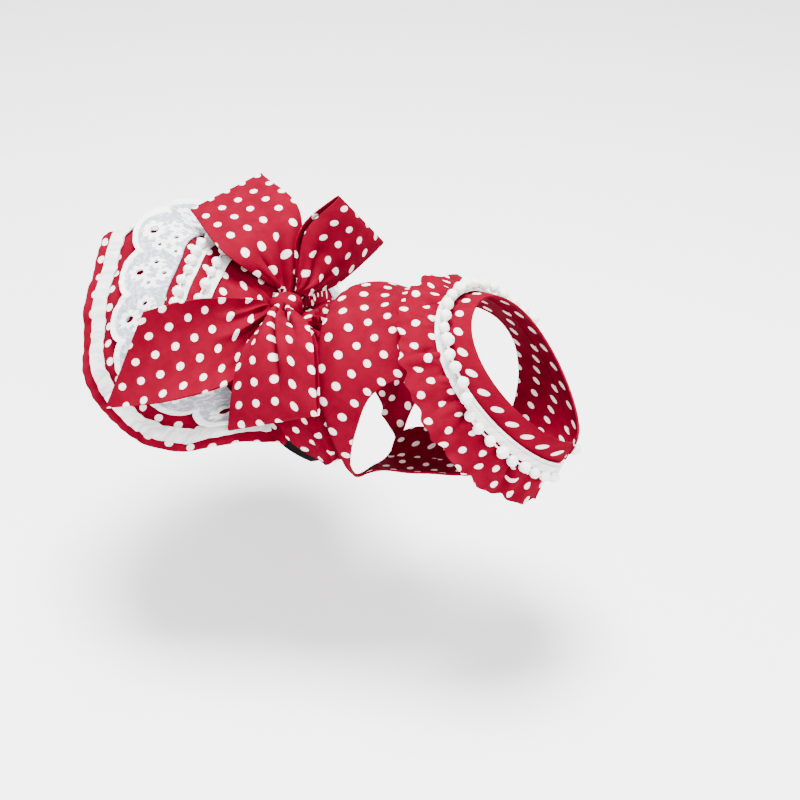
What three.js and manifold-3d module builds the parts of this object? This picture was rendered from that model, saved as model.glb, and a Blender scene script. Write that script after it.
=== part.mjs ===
// A small dog's dress in spotted cotton, as it stands when it is worn: a bodice with two leg openings,
// a gathered collar ruffle under a neck band, a puffed skirt with lace and tapes, and a large bow.
// Millimetres. +X points to the wearer's head, +Y to its left, +Z up.
// The origin lies on the inner face of the back, where the dress rests on the wearer's spine.
import * as THREE from "three";
import { mergeVertices } from "three/addons/utils/BufferGeometryUtils.js";
import Module from "manifold-3d";

const wasm = await Module();
wasm.setup();

// Cloth and clearances
const COTTON = 1.4;
const BOW_CLOTH = 1.6;
const LACE_CLOTH = 1.0;
const TAPE_CLOTH = 1.0;
const SEAM_GAP = 0.5;

// The bodice is a tube of parallel sections that lean back by this angle, so that the neckline faces
// forwards and up. FORE runs along the tube out of the neck, and RISE lies in each section.
const LEAN = THREE.MathUtils.degToRad(40.4);
const FORE = new THREE.Vector3(Math.cos(LEAN), 0, Math.sin(LEAN));
const RISE = new THREE.Vector3(-Math.sin(LEAN), 0, Math.cos(LEAN));
const NEARER = new THREE.Vector3(0, -1, 0);

// Sections of the tube. along is measured on FORE, back and belly on RISE. half is half the width,
// and egg makes a section wider near the back than near the belly.
const NECKLINE = 48.2;
const TORSO = [
  { along: -100, back: 33, belly: -81, half: 50, egg: 0 },
  { along: -70.4, back: 23.4, belly: -90, half: 50, egg: 0 },
  { along: -40, back: 12.5, belly: -106, half: 56, egg: 0.02 },
  { along: 0, back: 0, belly: -125.5, half: 60, egg: 0.05 },
  { along: 28, back: -12.5, belly: -139, half: 53, egg: 0.12 },
  { along: NECKLINE, back: -24.8, belly: -143.5, half: 42, egg: 0.2 },
];

// The bodice's rear edge: the waist seam over the back, then a free hem under the belly.
const WAIST_ALONG = -70.4;
const WAIST_DIP = 16;

// A deep crease in front of the bow, from the spine down to the belly tip on each side.
const CREASE = {
  start: -16,
  sweep: 52,
  sweepTurn: 140,
  spineHeight: 15,
  bellyHeight: 4,
  halfWidth: 10,
};

// Outline of each leg opening, seen from the side, from its lowest rear point round over the top.
// It is cut outwards from the edge of the chest strap.
const CHEST_STRAP_HALF = 28;
const LEG_OUTLINE = [
  { x: 3, z: -113 },
  { x: 9, z: -82 },
  { x: 15.5, z: -54 },
  { x: 23, z: -31 },
  { x: 39, z: -17.5 },
  { x: 56, z: -20 },
  { x: 69, z: -33 },
  { x: 75, z: -52 },
  { x: 77, z: -72 },
  { x: 74, z: -92 },
  { x: 62, z: -108 },
  { x: 33, z: -117 },
];

// Neck band, ruffle and the trim over their seam
const BAND = { gap: 1, height: 13, inset: 5.5, leftEnd: -176, rightEnd: 166 };
const RUFFLE = [
  { turn: 0, back: 18, out: 3 },
  { turn: 55, back: 18, out: 5 },
  { turn: 95, back: 21, out: 8 },
  { turn: 140, back: 23, out: 12 },
  { turn: 164, back: 22, out: 13 },
];
const RUFFLE_WAVES = { count: 16, height: 4, rootOut: 2.2, rootAlong: -1.2, frill: 2 };
const NECK_TAPE = { width: 5, lift: 6.5, endTurn: 162 };
const POMPOM = { radius: 3.7, cordRadius: 1.1, pitch: 9.8, sides: 10 };
// Over the back of the neck the pompoms fall towards the head. Lower down they fall on the ruffle.
const TRIM_FLIP = { from: 66, to: 100 };

// The skirt hangs from the waist seam. Each row is one rib: around is 0 at the centre back and 1 at the
// front end, hem is where the rib ends, and rise and fall are the handles of its curve at waist and hem.
const SKIRT_TURN = 78;
const SKIRT = [
  { around: 0, hemX: -205, hemOut: 0, hemZ: 2, riseX: -11, riseOut: 0, riseZ: 45, fallX: 44, fallOut: 0, fallZ: 18 },
  { around: 0.176, hemX: -196.6, hemOut: 40, hemZ: -16, riseX: -11, riseOut: 6, riseZ: 46, fallX: 41, fallOut: 0, fallZ: 26 },
  { around: 0.313, hemX: -186, hemOut: 68, hemZ: -37, riseX: -11, riseOut: 12, riseZ: 46, fallX: 35, fallOut: -1, fallZ: 38 },
  { around: 0.41, hemX: -172, hemOut: 84, hemZ: -51, riseX: -11, riseOut: 17, riseZ: 43, fallX: 29, fallOut: -3, fallZ: 43 },
  { around: 0.515, hemX: -152, hemOut: 95, hemZ: -67, riseX: -11, riseOut: 20, riseZ: 37, fallX: 21, fallOut: -6, fallZ: 44 },
  { around: 0.64, hemX: -122, hemOut: 102, hemZ: -77, riseX: -9, riseOut: 20, riseZ: 27, fallX: 12, fallOut: -9, fallZ: 38 },
  { around: 0.763, hemX: -90, hemOut: 100, hemZ: -79, riseX: -7, riseOut: 18, riseZ: 14, fallX: 5, fallOut: -11, fallZ: 26 },
  { around: 0.847, hemX: -71, hemOut: 91, hemZ: -75, riseX: -5, riseOut: 14, riseZ: 6, fallX: 2, fallOut: -9, fallZ: 12 },
  { around: 0.92, hemX: -59, hemOut: 76, hemZ: -74, riseX: -3, riseOut: 9, riseZ: 2, fallX: -1, fallOut: -8, fallZ: 4 },
  { around: 1, hemX: -51, hemOut: 61, hemZ: -77, riseX: 0, riseOut: 4, riseZ: 0, fallX: -2, fallOut: -5, fallZ: 2 },
];
// The left side is the mirror of these rows, puffed a little higher.
const LEFT_PUFF = 12;
const SKIRT_COLUMNS = 54;
const SKIRT_ROWS = 5;
const FLUTE = { waves: 9, height: 2 };

// Trims on the skirt, by their distance from the hem. They end on the skirt's own columns.
const HEM_TAPE = { inner: 16, outer: 6, end: 52 / SKIRT_COLUMNS, lift: 2.7 };
const LACE = {
  inner: 64,
  tip: 26,
  tipShare: 0.25,
  scallopDepth: 8,
  scallops: 11,
  end: 44 / SKIRT_COLUMNS,
  belowRow: 12.5,
  freeShare: 0.66,
  lift: 2,
  flare: 3.3,
  leftFlare: 7,
};
const EYELET = { radius: 2.6, fromTip: 13, sides: 6 };
const ROW_TAPE = { width: 6 };
const TRIM_ROWS = [
  { name: "outer", fromWaist: 0.47, end: 29 / SKIRT_COLUMNS, lift: 1.1 },
  { name: "inner", fromWaist: 0.36, end: 27 / SKIRT_COLUMNS, lift: 2.1 },
];

// The bow: a knot on the waist seam, two loops that lean forwards and two tails over the skirt.
// Each lobe lies between two edges, a and b, given at the knot, half way and at the far end.
const KNOT = { x: -64, y: -7, z: -14.4, long: 20, across: 20, thick: 16 };
const LOBES = [
  {
    name: "bow_loop_near",
    a: [vec(-63, -18.1, -8.5), vec(-60, -72, -23), vec(-61, -88, -61)],
    b: [vec(-55, -18.1, -11), vec(-17, -56, 1), vec(0, -82, -36)],
    puff: 11,
    folds: 2,
    foldHeight: 2.5,
    bulge: 0,
  },
  {
    name: "bow_loop_far",
    a: [vec(-62, 4.1, -8), vec(-64, 18, 28), vec(-53, 47, 43)],
    b: [vec(-55, 4.1, -11), vec(-53, 40, -17), vec(-40, 85, -4)],
    puff: 10,
    folds: 2,
    foldHeight: 2.5,
    bulge: 0,
  },
  {
    name: "bow_tail_near",
    a: [vec(-73, -17.4, -7), vec(-90, -46, 4), vec(-101, -71, 11), vec(-118, -87, 8)],
    b: [vec(-65, -17.4, -18), vec(-61, -71, -31), vec(-87, -103, -37), vec(-134, -114, -51)],
    puff: 0,
    folds: 1.5,
    foldHeight: 3,
    bulge: 9,
  },
  {
    name: "bow_tail_far",
    a: [vec(-73, 3.7, -9), vec(-101, -15, 18), vec(-149, 18, 26)],
    b: [vec(-67, 3.7, -18.5), vec(-78, 40, 28), vec(-128, 76, 33)],
    puff: 0,
    folds: 1.5,
    foldHeight: 3,
    bulge: 0,
  },
];

const LABEL = { turn: 112, halfTurn: 13, hang: 8, thick: 1.2 };
const PLACKET = { halfTurn: 11, from: -60, to: 26, lift: 2.1, thick: 1.2 };

const rad = THREE.MathUtils.degToRad;
const lerp = THREE.MathUtils.lerp;

function vec(x, y, z) {
  return new THREE.Vector3(x, y, z);
}

function smooth(from, to, value) {
  return THREE.MathUtils.smoothstep(value, from, to);
}

// A row of a table at any value of its key column, by smooth curves through the rows.
function rowAt(table, key, value) {
  const last = table.length - 1;
  const v = THREE.MathUtils.clamp(value, table[0][key], table[last][key]);
  let i = 0;
  while (i < last - 1 && v > table[i + 1][key]) i += 1;
  const a = table[i];
  const b = table[i + 1];
  const before = table[Math.max(i - 1, 0)];
  const after = table[Math.min(i + 2, last)];
  const span = b[key] - a[key];
  const t = (v - a[key]) / span;
  const made = {};
  for (const column of Object.keys(a)) {
    const slopeA = ((b[column] - before[column]) / (b[key] - before[key])) * span;
    const slopeB = ((after[column] - a[column]) / (after[key] - a[key])) * span;
    made[column] =
      (2 * t ** 3 - 3 * t ** 2 + 1) * a[column] +
      (t ** 3 - 2 * t ** 2 + t) * slopeA +
      (3 * t ** 2 - 2 * t ** 3) * b[column] +
      (t ** 3 - t ** 2) * slopeB;
  }
  return made;
}

// A geometry whose faces point out, whichever way round its grid ran.
function facingOut(points, triangles) {
  let volume = 0;
  for (let k = 0; k < triangles.length; k += 3) {
    const [a, b, c] = [0, 1, 2].map((n) => points[triangles[k + n]]);
    volume += a.dot(b.clone().cross(c));
  }
  const order = volume < 0 ? [0, 2, 1] : [0, 1, 2];
  const index = [];
  for (let k = 0; k < triangles.length; k += 3) index.push(...order.map((n) => triangles[k + n]));
  const geometry = new THREE.BufferGeometry().setFromPoints(points);
  geometry.setIndex(index);
  return geometry;
}

// One closed body between two grids of points. A grid that wraps joins its last column to its first.
function closedSheet(outerAt, innerAt, cols, rows, wraps = false) {
  const points = [];
  const triangles = [];
  const across = wraps ? cols : cols + 1;
  const index = (side, i, j) => (side * (rows + 1) + j) * across + (i % across);
  for (const at of [outerAt, innerAt])
    for (let j = 0; j <= rows; j += 1)
      for (let i = 0; i < across; i += 1) points.push(at(i / cols, j / rows));
  const quad = (a, b, c, d) => triangles.push(a, b, c, a, c, d);
  for (let j = 0; j < rows; j += 1)
    for (let i = 0; i < cols; i += 1) {
      quad(index(0, i, j), index(0, i + 1, j), index(0, i + 1, j + 1), index(0, i, j + 1));
      quad(index(1, i, j + 1), index(1, i + 1, j + 1), index(1, i + 1, j), index(1, i, j));
    }
  for (let i = 0; i < cols; i += 1) {
    quad(index(1, i, 0), index(1, i + 1, 0), index(0, i + 1, 0), index(0, i, 0));
    quad(index(0, i, rows), index(0, i + 1, rows), index(1, i + 1, rows), index(1, i, rows));
  }
  if (!wraps)
    for (let j = 0; j < rows; j += 1) {
      quad(index(0, 0, j), index(0, 0, j + 1), index(1, 0, j + 1), index(1, 0, j));
      quad(index(1, cols, j), index(1, cols, j + 1), index(0, cols, j + 1), index(0, cols, j));
    }
  return facingOut(points, triangles);
}

// The normal of a surface, by small steps in both directions.
function normalOf(pointAt, i, j, step = 2e-3) {
  const du = pointAt(i + step, j).sub(pointAt(i - step, j));
  const dv = pointAt(i, j + step).sub(pointAt(i, j - step));
  return du.cross(dv).normalize();
}

// A sheet of cloth on a surface: it starts lift from the surface and is thick from there on.
function clothOn(pointAt, lift, thick, cols, rows, wraps = false) {
  const raised = (distance) => (i, j) => pointAt(i, j).addScaledVector(normalOf(pointAt, i, j), distance);
  return closedSheet(raised(lift + thick), raised(lift), cols, rows, wraps);
}

// A string of pompoms on a thin cord: rings round a path, wide at each pompom and narrow between.
function pompomString(path, count) {
  const { radius, cordRadius, sides } = POMPOM;
  const pitch = 1 / count;
  const rings = [];
  for (let k = 0; k < count; k += 1) {
    rings.push({ at: k * pitch, r: cordRadius });
    rings.push({ at: (k + 0.5) * pitch, r: radius });
  }
  rings.push({ at: 1, r: cordRadius });
  const points = [];
  for (const ring of rings) {
    const centre = path(ring.at);
    const ahead = path(ring.at + 1e-3).sub(path(ring.at - 1e-3)).normalize();
    const out = vec(0.3, 0, 1).cross(ahead).normalize();
    const up = ahead.clone().cross(out);
    for (let s = 0; s < sides; s += 1) {
      const angle = (s / sides) * 2 * Math.PI;
      const spoke = out.clone().multiplyScalar(Math.cos(angle)).addScaledVector(up, Math.sin(angle));
      points.push(centre.clone().addScaledVector(spoke, ring.r));
    }
  }
  const triangles = [];
  const last = rings.length - 1;
  for (let k = 0; k < last; k += 1)
    for (let s = 0; s < sides; s += 1) {
      const n = (s + 1) % sides;
      triangles.push(k * sides + s, k * sides + n, (k + 1) * sides + n);
      triangles.push(k * sides + s, (k + 1) * sides + n, (k + 1) * sides + s);
    }
  for (let s = 1; s < sides - 1; s += 1) {
    triangles.push(0, s + 1, s);
    triangles.push(last * sides, last * sides + s, last * sides + s + 1);
  }
  return facingOut(points, triangles);
}

// How many pompoms fill a path at the pompoms' own pitch.
function pompomsAlong(path) {
  let length = 0;
  for (let k = 0; k < 80; k += 1) length += path(k / 80).distanceTo(path((k + 1) / 80));
  return Math.round(length / POMPOM.pitch);
}

function solidFrom(geometry) {
  const bare = geometry.index ? geometry.toNonIndexed() : geometry.clone();
  for (const name of ["normal", "uv"]) bare.deleteAttribute(name);
  const merged = mergeVertices(bare, 1e-4);
  return new wasm.Manifold(
    new wasm.Mesh({
      numProp: 3,
      vertProperties: merged.attributes.position.array,
      triVerts: new Uint32Array(merged.index.array),
    }),
  );
}

function geometryFrom(solid) {
  const mesh = solid.getMesh();
  const geometry = new THREE.BufferGeometry();
  geometry.setAttribute("position", new THREE.BufferAttribute(mesh.vertProperties, 3));
  geometry.setIndex(new THREE.BufferAttribute(mesh.triVerts, 1));
  return geometry;
}

// Bodice

function rearEdge(turn) {
  return WAIST_ALONG - WAIST_DIP * Math.sin(turn) ** 2;
}

function creaseHeight(along, turn) {
  const share = Math.abs(turn) / rad(CREASE.sweepTurn);
  const line = CREASE.start - CREASE.sweep * share ** 2;
  const height = lerp(CREASE.spineHeight, CREASE.bellyHeight, Math.min(share, 1));
  return height * (1 - smooth(1, 1.25, share)) * Math.exp(-(((along - line) / CREASE.halfWidth) ** 2));
}

// A point on the tube's inner face, raised by out. turn is 0 at the spine and positive on the right.
function torsoPoint(along, turn, out = 0) {
  const section = rowAt(TORSO, "along", along);
  const high = (section.back - section.belly) / 2;
  const middle = (section.back + section.belly) / 2;
  const outward = RISE.clone()
    .multiplyScalar(Math.cos(turn) * section.half)
    .addScaledVector(NEARER, Math.sin(turn) * high)
    .normalize();
  return FORE.clone()
    .multiplyScalar(along)
    .addScaledVector(RISE, middle + high * Math.cos(turn))
    .addScaledVector(NEARER, section.half * Math.sin(turn) * (1 + section.egg * Math.cos(turn)))
    .addScaledVector(outward, out);
}

function bodicePoint(i, j) {
  const turn = (2 * i - 1) * Math.PI;
  const along = lerp(rearEdge(turn), NECKLINE, j);
  return torsoPoint(along, turn, creaseHeight(along, turn));
}

function legOpening(side) {
  const curve = new THREE.CatmullRomCurve3(
    LEG_OUTLINE.map((row) => vec(row.x, row.z, 0)),
    true,
  );
  const outline = new THREE.Shape(curve.getSpacedPoints(30).map((p) => new THREE.Vector2(p.x, p.y)));
  const depth = 80;
  const cutter = new THREE.ExtrudeGeometry(outline, { depth, bevelEnabled: false });
  cutter.rotateX(Math.PI / 2);
  cutter.translate(0, side > 0 ? -CHEST_STRAP_HALF : CHEST_STRAP_HALF + depth, 0);
  return cutter;
}

function bodice() {
  let solid = solidFrom(clothOn(bodicePoint, 0, COTTON, 32, 9, true));
  for (const side of [1, -1]) solid = solid.subtract(solidFrom(legOpening(side)));
  return geometryFrom(solid);
}

function placket() {
  const at = (i, j) => {
    const turn = Math.PI + (2 * i - 1) * rad(PLACKET.halfTurn);
    return torsoPoint(lerp(PLACKET.from, PLACKET.to, j), turn);
  };
  return clothOn(at, PLACKET.lift, PLACKET.thick, 2, 6);
}

function label() {
  const at = (i, j) => {
    const turn = rad(LABEL.turn) + (2 * i - 1) * rad(LABEL.halfTurn);
    return torsoPoint(rearEdge(turn) - SEAM_GAP - LABEL.hang * (1 - j), turn);
  };
  return clothOn(at, 0, LABEL.thick, 4, 1);
}

// Neck

function neckBand() {
  const at = (i, j) => {
    const turn = rad(lerp(BAND.leftEnd, BAND.rightEnd, i));
    const inset = BAND.inset * Math.max(j, 0) ** 1.5;
    return torsoPoint(NECKLINE, turn, -inset).addScaledVector(FORE, BAND.gap + BAND.height * j);
  };
  return clothOn(at, 0, COTTON, 36, 2);
}

function rufflePoint(i, j) {
  const end = RUFFLE[RUFFLE.length - 1].turn;
  const turn = (2 * i - 1) * end;
  const row = rowAt(RUFFLE, "turn", Math.abs(turn));
  const { count, height, rootOut, rootAlong, frill } = RUFFLE_WAVES;
  const share = Math.max(1 - j, 0) ** 1.3;
  const phase = (turn / end) * count * Math.PI;
  const wave = height * share ** 1.6 * Math.sin(phase);
  const back = (row.back + frill * Math.cos(2 * phase)) * share;
  const out = rootOut + (row.out + 1.2 * height * smooth(0, 0.5, share)) * share ** 1.6 + wave;
  return torsoPoint(NECKLINE + rootAlong - back, rad(turn), out);
}

function neckRuffle() {
  return clothOn(rufflePoint, 0, COTTON, 4 * RUFFLE_WAVES.count, 3);
}

function neckTape() {
  const at = (i, j) => {
    const turn = (2 * i - 1) * rad(NECK_TAPE.endTurn);
    return torsoPoint(NECKLINE, turn, NECK_TAPE.lift).addScaledVector(FORE, (j - 0.5) * NECK_TAPE.width);
  };
  return clothOn(at, 0, TAPE_CLOTH, 40, 1);
}

function neckPompomPath(i) {
  const turn = (2 * i - 1) * NECK_TAPE.endTurn;
  const flip = smooth(TRIM_FLIP.from, TRIM_FLIP.to, Math.abs(turn));
  const over = NECK_TAPE.lift + TAPE_CLOTH + POMPOM.radius + SEAM_GAP;
  const reach = NECK_TAPE.width / 2 + POMPOM.radius + SEAM_GAP;
  const out = lerp(6.4, over + 4, smooth(0, 0.35, flip));
  return torsoPoint(NECKLINE, rad(turn), out).addScaledVector(FORE, lerp(reach, -reach, smooth(0.1, 1, flip)));
}

// Skirt

const RIBS = [...SKIRT.slice(1).reverse().map(leftRib), ...SKIRT];

function leftRib(row) {
  const higher = LEFT_PUFF * Math.sin(row.around * Math.PI);
  return {
    around: -row.around,
    hemX: row.hemX,
    hemOut: -row.hemOut,
    hemZ: row.hemZ,
    riseX: row.riseX,
    riseOut: -row.riseOut,
    riseZ: row.riseZ + higher,
    fallX: row.fallX,
    fallOut: -row.fallOut,
    fallZ: row.fallZ + higher,
  };
}

function ribPoint(around, t) {
  const row = rowAt(RIBS, "around", around);
  const turn = around * rad(SKIRT_TURN);
  const waist = torsoPoint(rearEdge(turn) - COTTON - SEAM_GAP, turn);
  const hem = vec(row.hemX, -row.hemOut, row.hemZ);
  const rise = waist.clone().add(vec(row.riseX, -row.riseOut, row.riseZ));
  const fall = hem.clone().add(vec(row.fallX, -row.fallOut, row.fallZ));
  return new THREE.CubicBezierCurve3(waist, rise, fall, hem).getPoint(t);
}

// Where a rib has a given distance from the hem, and its whole length.
function ribLengths(around) {
  const steps = 24;
  const lengths = [0];
  for (let k = steps; k > 0; k -= 1) {
    const step = ribPoint(around, k / steps).distanceTo(ribPoint(around, (k - 1) / steps));
    lengths.push(lengths[lengths.length - 1] + step);
  }
  return lengths;
}

function atFromHem(around, distance) {
  const lengths = ribLengths(around);
  const steps = lengths.length - 1;
  let k = 0;
  while (k < steps - 1 && lengths[k + 1] < distance) k += 1;
  const share = (distance - lengths[k]) / (lengths[k + 1] - lengths[k]);
  return 1 - (k + share) / steps;
}

function ribLength(around) {
  return ribLengths(around).at(-1);
}

// The skirt's inner face with its flutes, then the same raised by lift.
function flutedPoint(around, t) {
  const smoothAt = (a, b) => ribPoint(a, b);
  const normal = normalOf(smoothAt, around, t);
  const flute = FLUTE.height * Math.max(t, 0) ** 1.5 * Math.cos(around * FLUTE.waves * Math.PI);
  return ribPoint(around, t).addScaledVector(normal, -flute);
}

function skirtPoint(around, t, lift = 0) {
  const normal = normalOf(flutedPoint, around, t);
  return flutedPoint(around, t).addScaledVector(normal, -lift);
}

function skirt() {
  const at = (lift) => (i, j) => skirtPoint(2 * i - 1, j, lift);
  return closedSheet(at(COTTON), at(0), SKIRT_COLUMNS, SKIRT_ROWS);
}

// A strip round the skirt between two distances from the hem, on the skirt's own columns.
function skirtStrip(end, innerAt, outerAt, liftAt, thick, rows) {
  const columns = Math.round(end * SKIRT_COLUMNS);
  const at = (extra) => (i, j) => {
    const around = (2 * i - 1) * end;
    const distance = lerp(innerAt(around), outerAt(around), j);
    return skirtPoint(around, atFromHem(around, distance), liftAt(j, around) + extra);
  };
  return closedSheet(at(thick), at(0), columns, rows);
}

function hemTape() {
  const { inner, outer, end } = HEM_TAPE;
  return skirtStrip(end, () => inner, () => outer, () => HEM_TAPE.lift, TAPE_CLOTH, 1);
}

// The lace narrows where the skirt grows shorter, and it stays clear of the pompoms above it.
function laceTip(around) {
  return Math.min(LACE.tip, LACE.tipShare * ribLength(around));
}

function laceOuter(around) {
  const share = Math.abs(Math.sin(((around / LACE.end + 1) / 2) * LACE.scallops * Math.PI));
  return laceTip(around) + LACE.scallopDepth * (1 - share ** 0.7);
}

function laceInner(around) {
  const [row] = TRIM_ROWS;
  const length = ribLength(around);
  const clear = (1 - row.fromWaist) * length - LACE.belowRow;
  const free = smooth(row.end, row.end + 0.1, Math.abs(around));
  return Math.min(LACE.inner, lerp(clear, LACE.freeShare * length, free));
}

function laceFrill() {
  const flare = (around) => LACE.flare + LACE.leftFlare * smooth(0.05, -0.15, around);
  const lift = (j, around) => LACE.lift + flare(around) * j ** 2;
  const solid = solidFrom(skirtStrip(LACE.end, laceInner, laceOuter, lift, LACE_CLOTH, 3));
  const holes = [];
  for (let k = 0; k < LACE.scallops; k += 1) {
    const around = LACE.end * ((2 * k + 1) / LACE.scallops - 1);
    const t = atFromHem(around, laceTip(around) + EYELET.fromTip);
    const centre = skirtPoint(around, t, LACE.lift + 3);
    const hole = new THREE.CylinderGeometry(EYELET.radius, EYELET.radius, 24, EYELET.sides);
    const normal = normalOf(flutedPoint, around, t);
    hole.applyQuaternion(new THREE.Quaternion().setFromUnitVectors(vec(0, 1, 0), normal));
    hole.translate(centre.x, centre.y, centre.z);
    holes.push(solidFrom(hole));
  }
  return geometryFrom(holes.reduce((rest, hole) => rest.subtract(hole), solid));
}

function rowTape(row) {
  const middle = (around) => ribLength(around) * (1 - row.fromWaist);
  const half = ROW_TAPE.width / 2;
  return skirtStrip(
    row.end,
    (around) => middle(around) + half,
    (around) => middle(around) - half,
    () => row.lift,
    TAPE_CLOTH,
    1,
  );
}

function rowPompomPath(row) {
  return (i) => {
    const around = (2 * i - 1) * row.end;
    const below = ROW_TAPE.width / 2 + POMPOM.radius + SEAM_GAP;
    const distance = ribLength(around) * (1 - row.fromWaist) - below;
    return skirtPoint(around, atFromHem(around, distance), COTTON + POMPOM.radius - 0.2);
  };
}

// Bow

function lobePoint(lobe, u, v) {
  const along = THREE.MathUtils.clamp(v, 0, 1);
  const [a, b] = [lobe.a, lobe.b].map((edge) => new THREE.CatmullRomCurve3(edge).getPoint(along));
  return a.lerp(b, u);
}

function lobeAt(lobe, u, v) {
  const normal = normalOf((a, b) => lobePoint(lobe, a, b), u, v);
  const fade = Math.max(1 - v, 0) ** 1.2 * smooth(0, 0.15, v);
  const fold = lobe.foldHeight * Math.sin(u * lobe.folds * 2 * Math.PI) * fade;
  const bulge = lobe.bulge * Math.sin(Math.PI * u) * Math.sin(Math.PI * v);
  return lobePoint(lobe, u, v).addScaledVector(normal, fold + bulge);
}

function bowTail(lobe) {
  return clothOn((i, j) => lobeAt(lobe, i, j), -BOW_CLOTH / 2, BOW_CLOTH, 8, 6);
}

function bowLoop(lobe) {
  const at = (i, j) => {
    const v = (1 - Math.cos(2 * Math.PI * j)) / 2;
    const swing = Math.sin(2 * Math.PI * j);
    const height = (lobe.puff / 2) * Math.sign(swing) * Math.abs(swing) ** 0.85 + 1.5 * Math.cos(Math.PI * j);
    const normal = normalOf((a, b) => lobePoint(lobe, a, b), i, v);
    return lobeAt(lobe, i, v).addScaledVector(normal, height);
  };
  const half = BOW_CLOTH / 2;
  return clothOn(at, -half, BOW_CLOTH, 6, 12);
}

function bowKnot() {
  const { x, y, z, long, across, thick } = KNOT;
  const knot = new THREE.SphereGeometry(1, 12, 7);
  const place = knot.attributes.position;
  for (let k = 0; k < place.count; k += 1) {
    const p = vec(0, 0, 0).fromBufferAttribute(place, k);
    const squared = (value, half, power) => half * Math.sign(value) * Math.abs(value) ** power;
    place.setXYZ(
      k,
      x + squared(p.x, long / 2, 0.55),
      y + squared(p.y, across / 2, 0.4),
      z + squared(p.z, thick / 2, 0.6),
    );
  }
  return geometryFrom(solidFrom(knot));
}

// Colours
const red = { color: 0xb3121f, roughness: 0.85 };
const white = { color: 0xf4f3ef, roughness: 0.85 };
const black = { color: 0x101012, roughness: 0.6 };

const dress = new THREE.Group();
dress.name = "dog_dress";

function piece(name, geometry, look) {
  const bare = geometry.index ? geometry.toNonIndexed() : geometry;
  bare.computeVertexNormals();
  const mesh = new THREE.Mesh(bare, new THREE.MeshStandardMaterial({ ...look, metalness: 0 }));
  mesh.name = name;
  dress.add(mesh);
}

piece("bodice", bodice(), red);
piece("belly_placket", placket(), red);
piece("side_label", label(), black);
piece("neck_band", neckBand(), red);
piece("neck_ruffle", neckRuffle(), red);
piece("neck_tape", neckTape(), white);
piece("neck_pompoms", pompomString(neckPompomPath, pompomsAlong(neckPompomPath)), white);
piece("skirt", skirt(), red);
piece("hem_tape", hemTape(), white);
piece("lace_frill", laceFrill(), white);
for (const row of TRIM_ROWS) {
  const path = rowPompomPath(row);
  piece(`skirt_tape_${row.name}`, rowTape(row), white);
  piece(`skirt_pompoms_${row.name}`, pompomString(path, pompomsAlong(path)), white);
}
for (const lobe of LOBES) piece(lobe.name, lobe.puff ? bowLoop(lobe) : bowTail(lobe), red);
piece("bow_knot", bowKnot(), red);

export default dress;
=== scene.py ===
"""Looks of a small dog's dress in spotted cotton: bodice, ruffle, puffed skirt, lace and a large bow.

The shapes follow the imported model. Lengths are in millimetres until a mesh is made, and the finished
objects are in metres. +X points to the wearer's head, +Y to its left, +Z up.
"""

import bpy
import numpy as np
from mathutils import Matrix, Vector
from mathutils.geometry import delaunay_2d_cdt


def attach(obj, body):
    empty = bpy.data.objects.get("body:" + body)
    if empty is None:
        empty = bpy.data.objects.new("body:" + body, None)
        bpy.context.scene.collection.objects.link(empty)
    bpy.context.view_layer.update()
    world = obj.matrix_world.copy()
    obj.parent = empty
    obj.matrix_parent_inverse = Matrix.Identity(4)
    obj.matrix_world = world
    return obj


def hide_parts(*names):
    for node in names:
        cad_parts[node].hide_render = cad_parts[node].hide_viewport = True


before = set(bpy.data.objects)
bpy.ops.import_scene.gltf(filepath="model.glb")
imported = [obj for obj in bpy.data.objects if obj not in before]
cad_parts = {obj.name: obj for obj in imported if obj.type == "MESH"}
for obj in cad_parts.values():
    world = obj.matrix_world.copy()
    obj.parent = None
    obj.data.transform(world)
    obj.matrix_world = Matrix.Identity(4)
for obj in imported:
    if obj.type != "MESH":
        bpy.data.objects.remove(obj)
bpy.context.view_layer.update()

MM = 0.001
LOOKS_SEED = 7

# Cloth and clearances
COTTON = 1.4
BOW_CLOTH = 1.6
LOOP_CLOTH = 0.6 * BOW_CLOTH
LACE_CLOTH = 0.9
TAPE_CLOTH = 1.0
SEAM_GAP = 0.5

# The print: white dots on a square lattice
DOT_PITCH = 13.1
DOT_RADIUS = 2.5
DOT_EDGE = 0.12


def table(columns, *rows):
    """A list of rows with named columns."""
    return [dict(zip(columns.split(), row)) for row in rows]


def point(x, y, z):
    return np.array([x, y, z], float)


def bow_lobe(name, a, b, puff=0, folds=2, fold_height=2.5, bulge=0):
    """A lobe of the bow between two edges, a and b, each given from the knot to the far end."""
    return dict(name=name, a=a, b=b, puff=puff, folds=folds, fold_height=fold_height, bulge=bulge)


def layout(anchor=(0.5, 0.5), across=(1 / DOT_PITCH, 0), down=(0, 1 / DOT_PITCH), shift=(0, 0), **gathers):
    """How a cut lies on the print.

    Lengths are taken from the anchor. across and down tell how far the print moves on, in parts of its
    pitch, for a millimetre across and down the cut, and shift tells where it starts. Gathered cloth also
    gives two shares of its depth and two of its half width, for on_print.
    """
    return {"anchor": anchor, "across": across, "down": down, "shift": shift} | gathers


# Bodice sections along a tube that leans back, measured on FORE and RISE
LEAN = np.radians(40.4)
FORE = point(np.cos(LEAN), 0, np.sin(LEAN))
RISE = point(-np.sin(LEAN), 0, np.cos(LEAN))
NEARER = point(0, -1, 0)
NECKLINE = 48.2
TORSO = table(
    "along back belly half egg",
    (-100, 33, -81, 50, 0),
    (-70.4, 23.4, -90, 50, 0),
    (-40, 12.5, -106, 56, 0.02),
    (0, 0, -125.5, 60, 0.05),
    (28, -12.5, -139, 53, 0.12),
    (NECKLINE, -24.8, -143.5, 42, 0.2),
)
WAIST_ALONG = -70.4
WAIST_DIP = 16

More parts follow.
